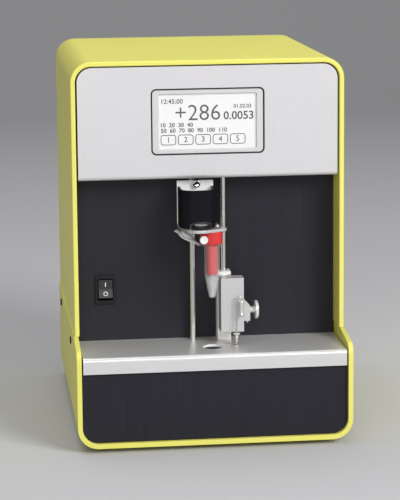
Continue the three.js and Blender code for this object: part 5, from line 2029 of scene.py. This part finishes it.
@dataclass
class Studio:
    """The pale floor and backdrop, the soft lights and the camera."""

    eye: Point = (-0.17607, -1.52, 0.41418)
    look: Point = (80.6699, 0.4954, -6.8168)
    lens: float = 145.542
    rise: float = -0.1
    floor_tone: float = 0.50
    world: float = 0.23

    def build_backdrop(self) -> None:
        """Builds the floor with its wall, one sheet bent in a wide curve."""
        deselect()
        bpy.ops.mesh.primitive_plane_add(size=1.0, location=(0, 0, 0))
        sheet = bpy.context.active_object
        sheet.scale = (8.0, 6.0, 1.0)
        sheet.location = (0, 0.4, 0)
        sheet = settle("backdrop")
        mesh = edit(sheet, "EDGE")
        for edge in mesh.edges:
            edge.select = all(vertex.co.y > 3.0 for vertex in edge.verts)
        bpy.ops.mesh.extrude_region_move(TRANSFORM_OT_translate={"value": (0, 0, 4.0)})
        leave()
        mesh = edit(sheet, "EDGE")
        for edge in mesh.edges:
            edge.select = all(v.co.y > 3.0 and v.co.z < 0.1 for v in edge.verts)
        bpy.ops.mesh.bevel(offset=1.5, segments=16, affect="EDGES")
        leave()
        take(sheet)
        bpy.ops.object.shade_smooth()
        material = bpy.data.materials.new("backdrop_paper")
        material.use_nodes = True
        surface = material.node_tree.nodes["Principled BSDF"]
        tone = self.floor_tone
        surface.inputs["Base Color"].default_value = (tone, tone, tone * 1.03, 1.0)
        surface.inputs["Roughness"].default_value = 0.9
        sheet.data.materials.append(material)

    def softbox(self, name: str, spot: Point, size: float, power: float, aim: Point) -> None:
        """Adds a square soft light.

        Args:
            name: Its name.
            spot: Where it stands, in metres.
            size: The length of its side in metres.
            power: Its power in watts.
            aim: The point that it faces.
        """
        deselect()
        bpy.ops.object.light_add(type="AREA", location=spot)
        light = bpy.context.active_object
        light.name = name
        light.data.size = size
        light.data.energy = power
        way = Vector(aim) - Vector(spot)
        light.rotation_euler = way.to_track_quat("-Z", "Y").to_euler()

    def build_lights(self) -> None:
        """Builds the soft lights from the right, the front left and above, and the world."""
        middle = (0.0, 0.0, 0.14)
        self.softbox("key_light", (1.15, -1.55, 1.25), 0.9, 37.0, middle)
        self.softbox("front_light", (-0.5, -2.1, 0.9), 1.2, 13.0, middle)
        self.softbox("top_light", (-0.3, 0.25, 2.0), 1.5, 18.0, middle)
        world = bpy.data.worlds.new("studio_air")
        bpy.context.scene.world = world
        world.use_nodes = True
        back = world.node_tree.nodes["Background"]
        back.inputs["Color"].default_value = (1.0, 1.0, 1.0, 1.0)
        back.inputs["Strength"].default_value = self.world

    def build_camera(self) -> None:
        """Builds the camera at the photograph's viewing angle."""
        deselect()
        turn = [math.radians(angle) for angle in self.look]
        bpy.ops.object.camera_add(location=self.eye, rotation=turn)
        camera = bpy.context.active_object
        camera.name = "viewing_camera"
        camera.data.lens = self.lens
        camera.data.shift_y = self.rise
        camera.data.clip_end = 50.0
        bpy.context.scene.camera = camera

    def build(self) -> None:
        """Builds the studio."""
        self.build_camera()
        self.build_backdrop()
        self.build_lights()
        bpy.context.scene.view_settings.view_transform = "Standard"


def main() -> None:
    """Builds the looks in order."""
    logging.basicConfig(level=logging.INFO, format="%(name)s: %(message)s")
    Studio().build()
    paints = Paintbox()
    for assembly in (Housing, Bay, Display, Head, Tube, Carriage, Switch, Rear, Insides):
        assembly(paints).build()


if __name__ == "__main__":
    main()
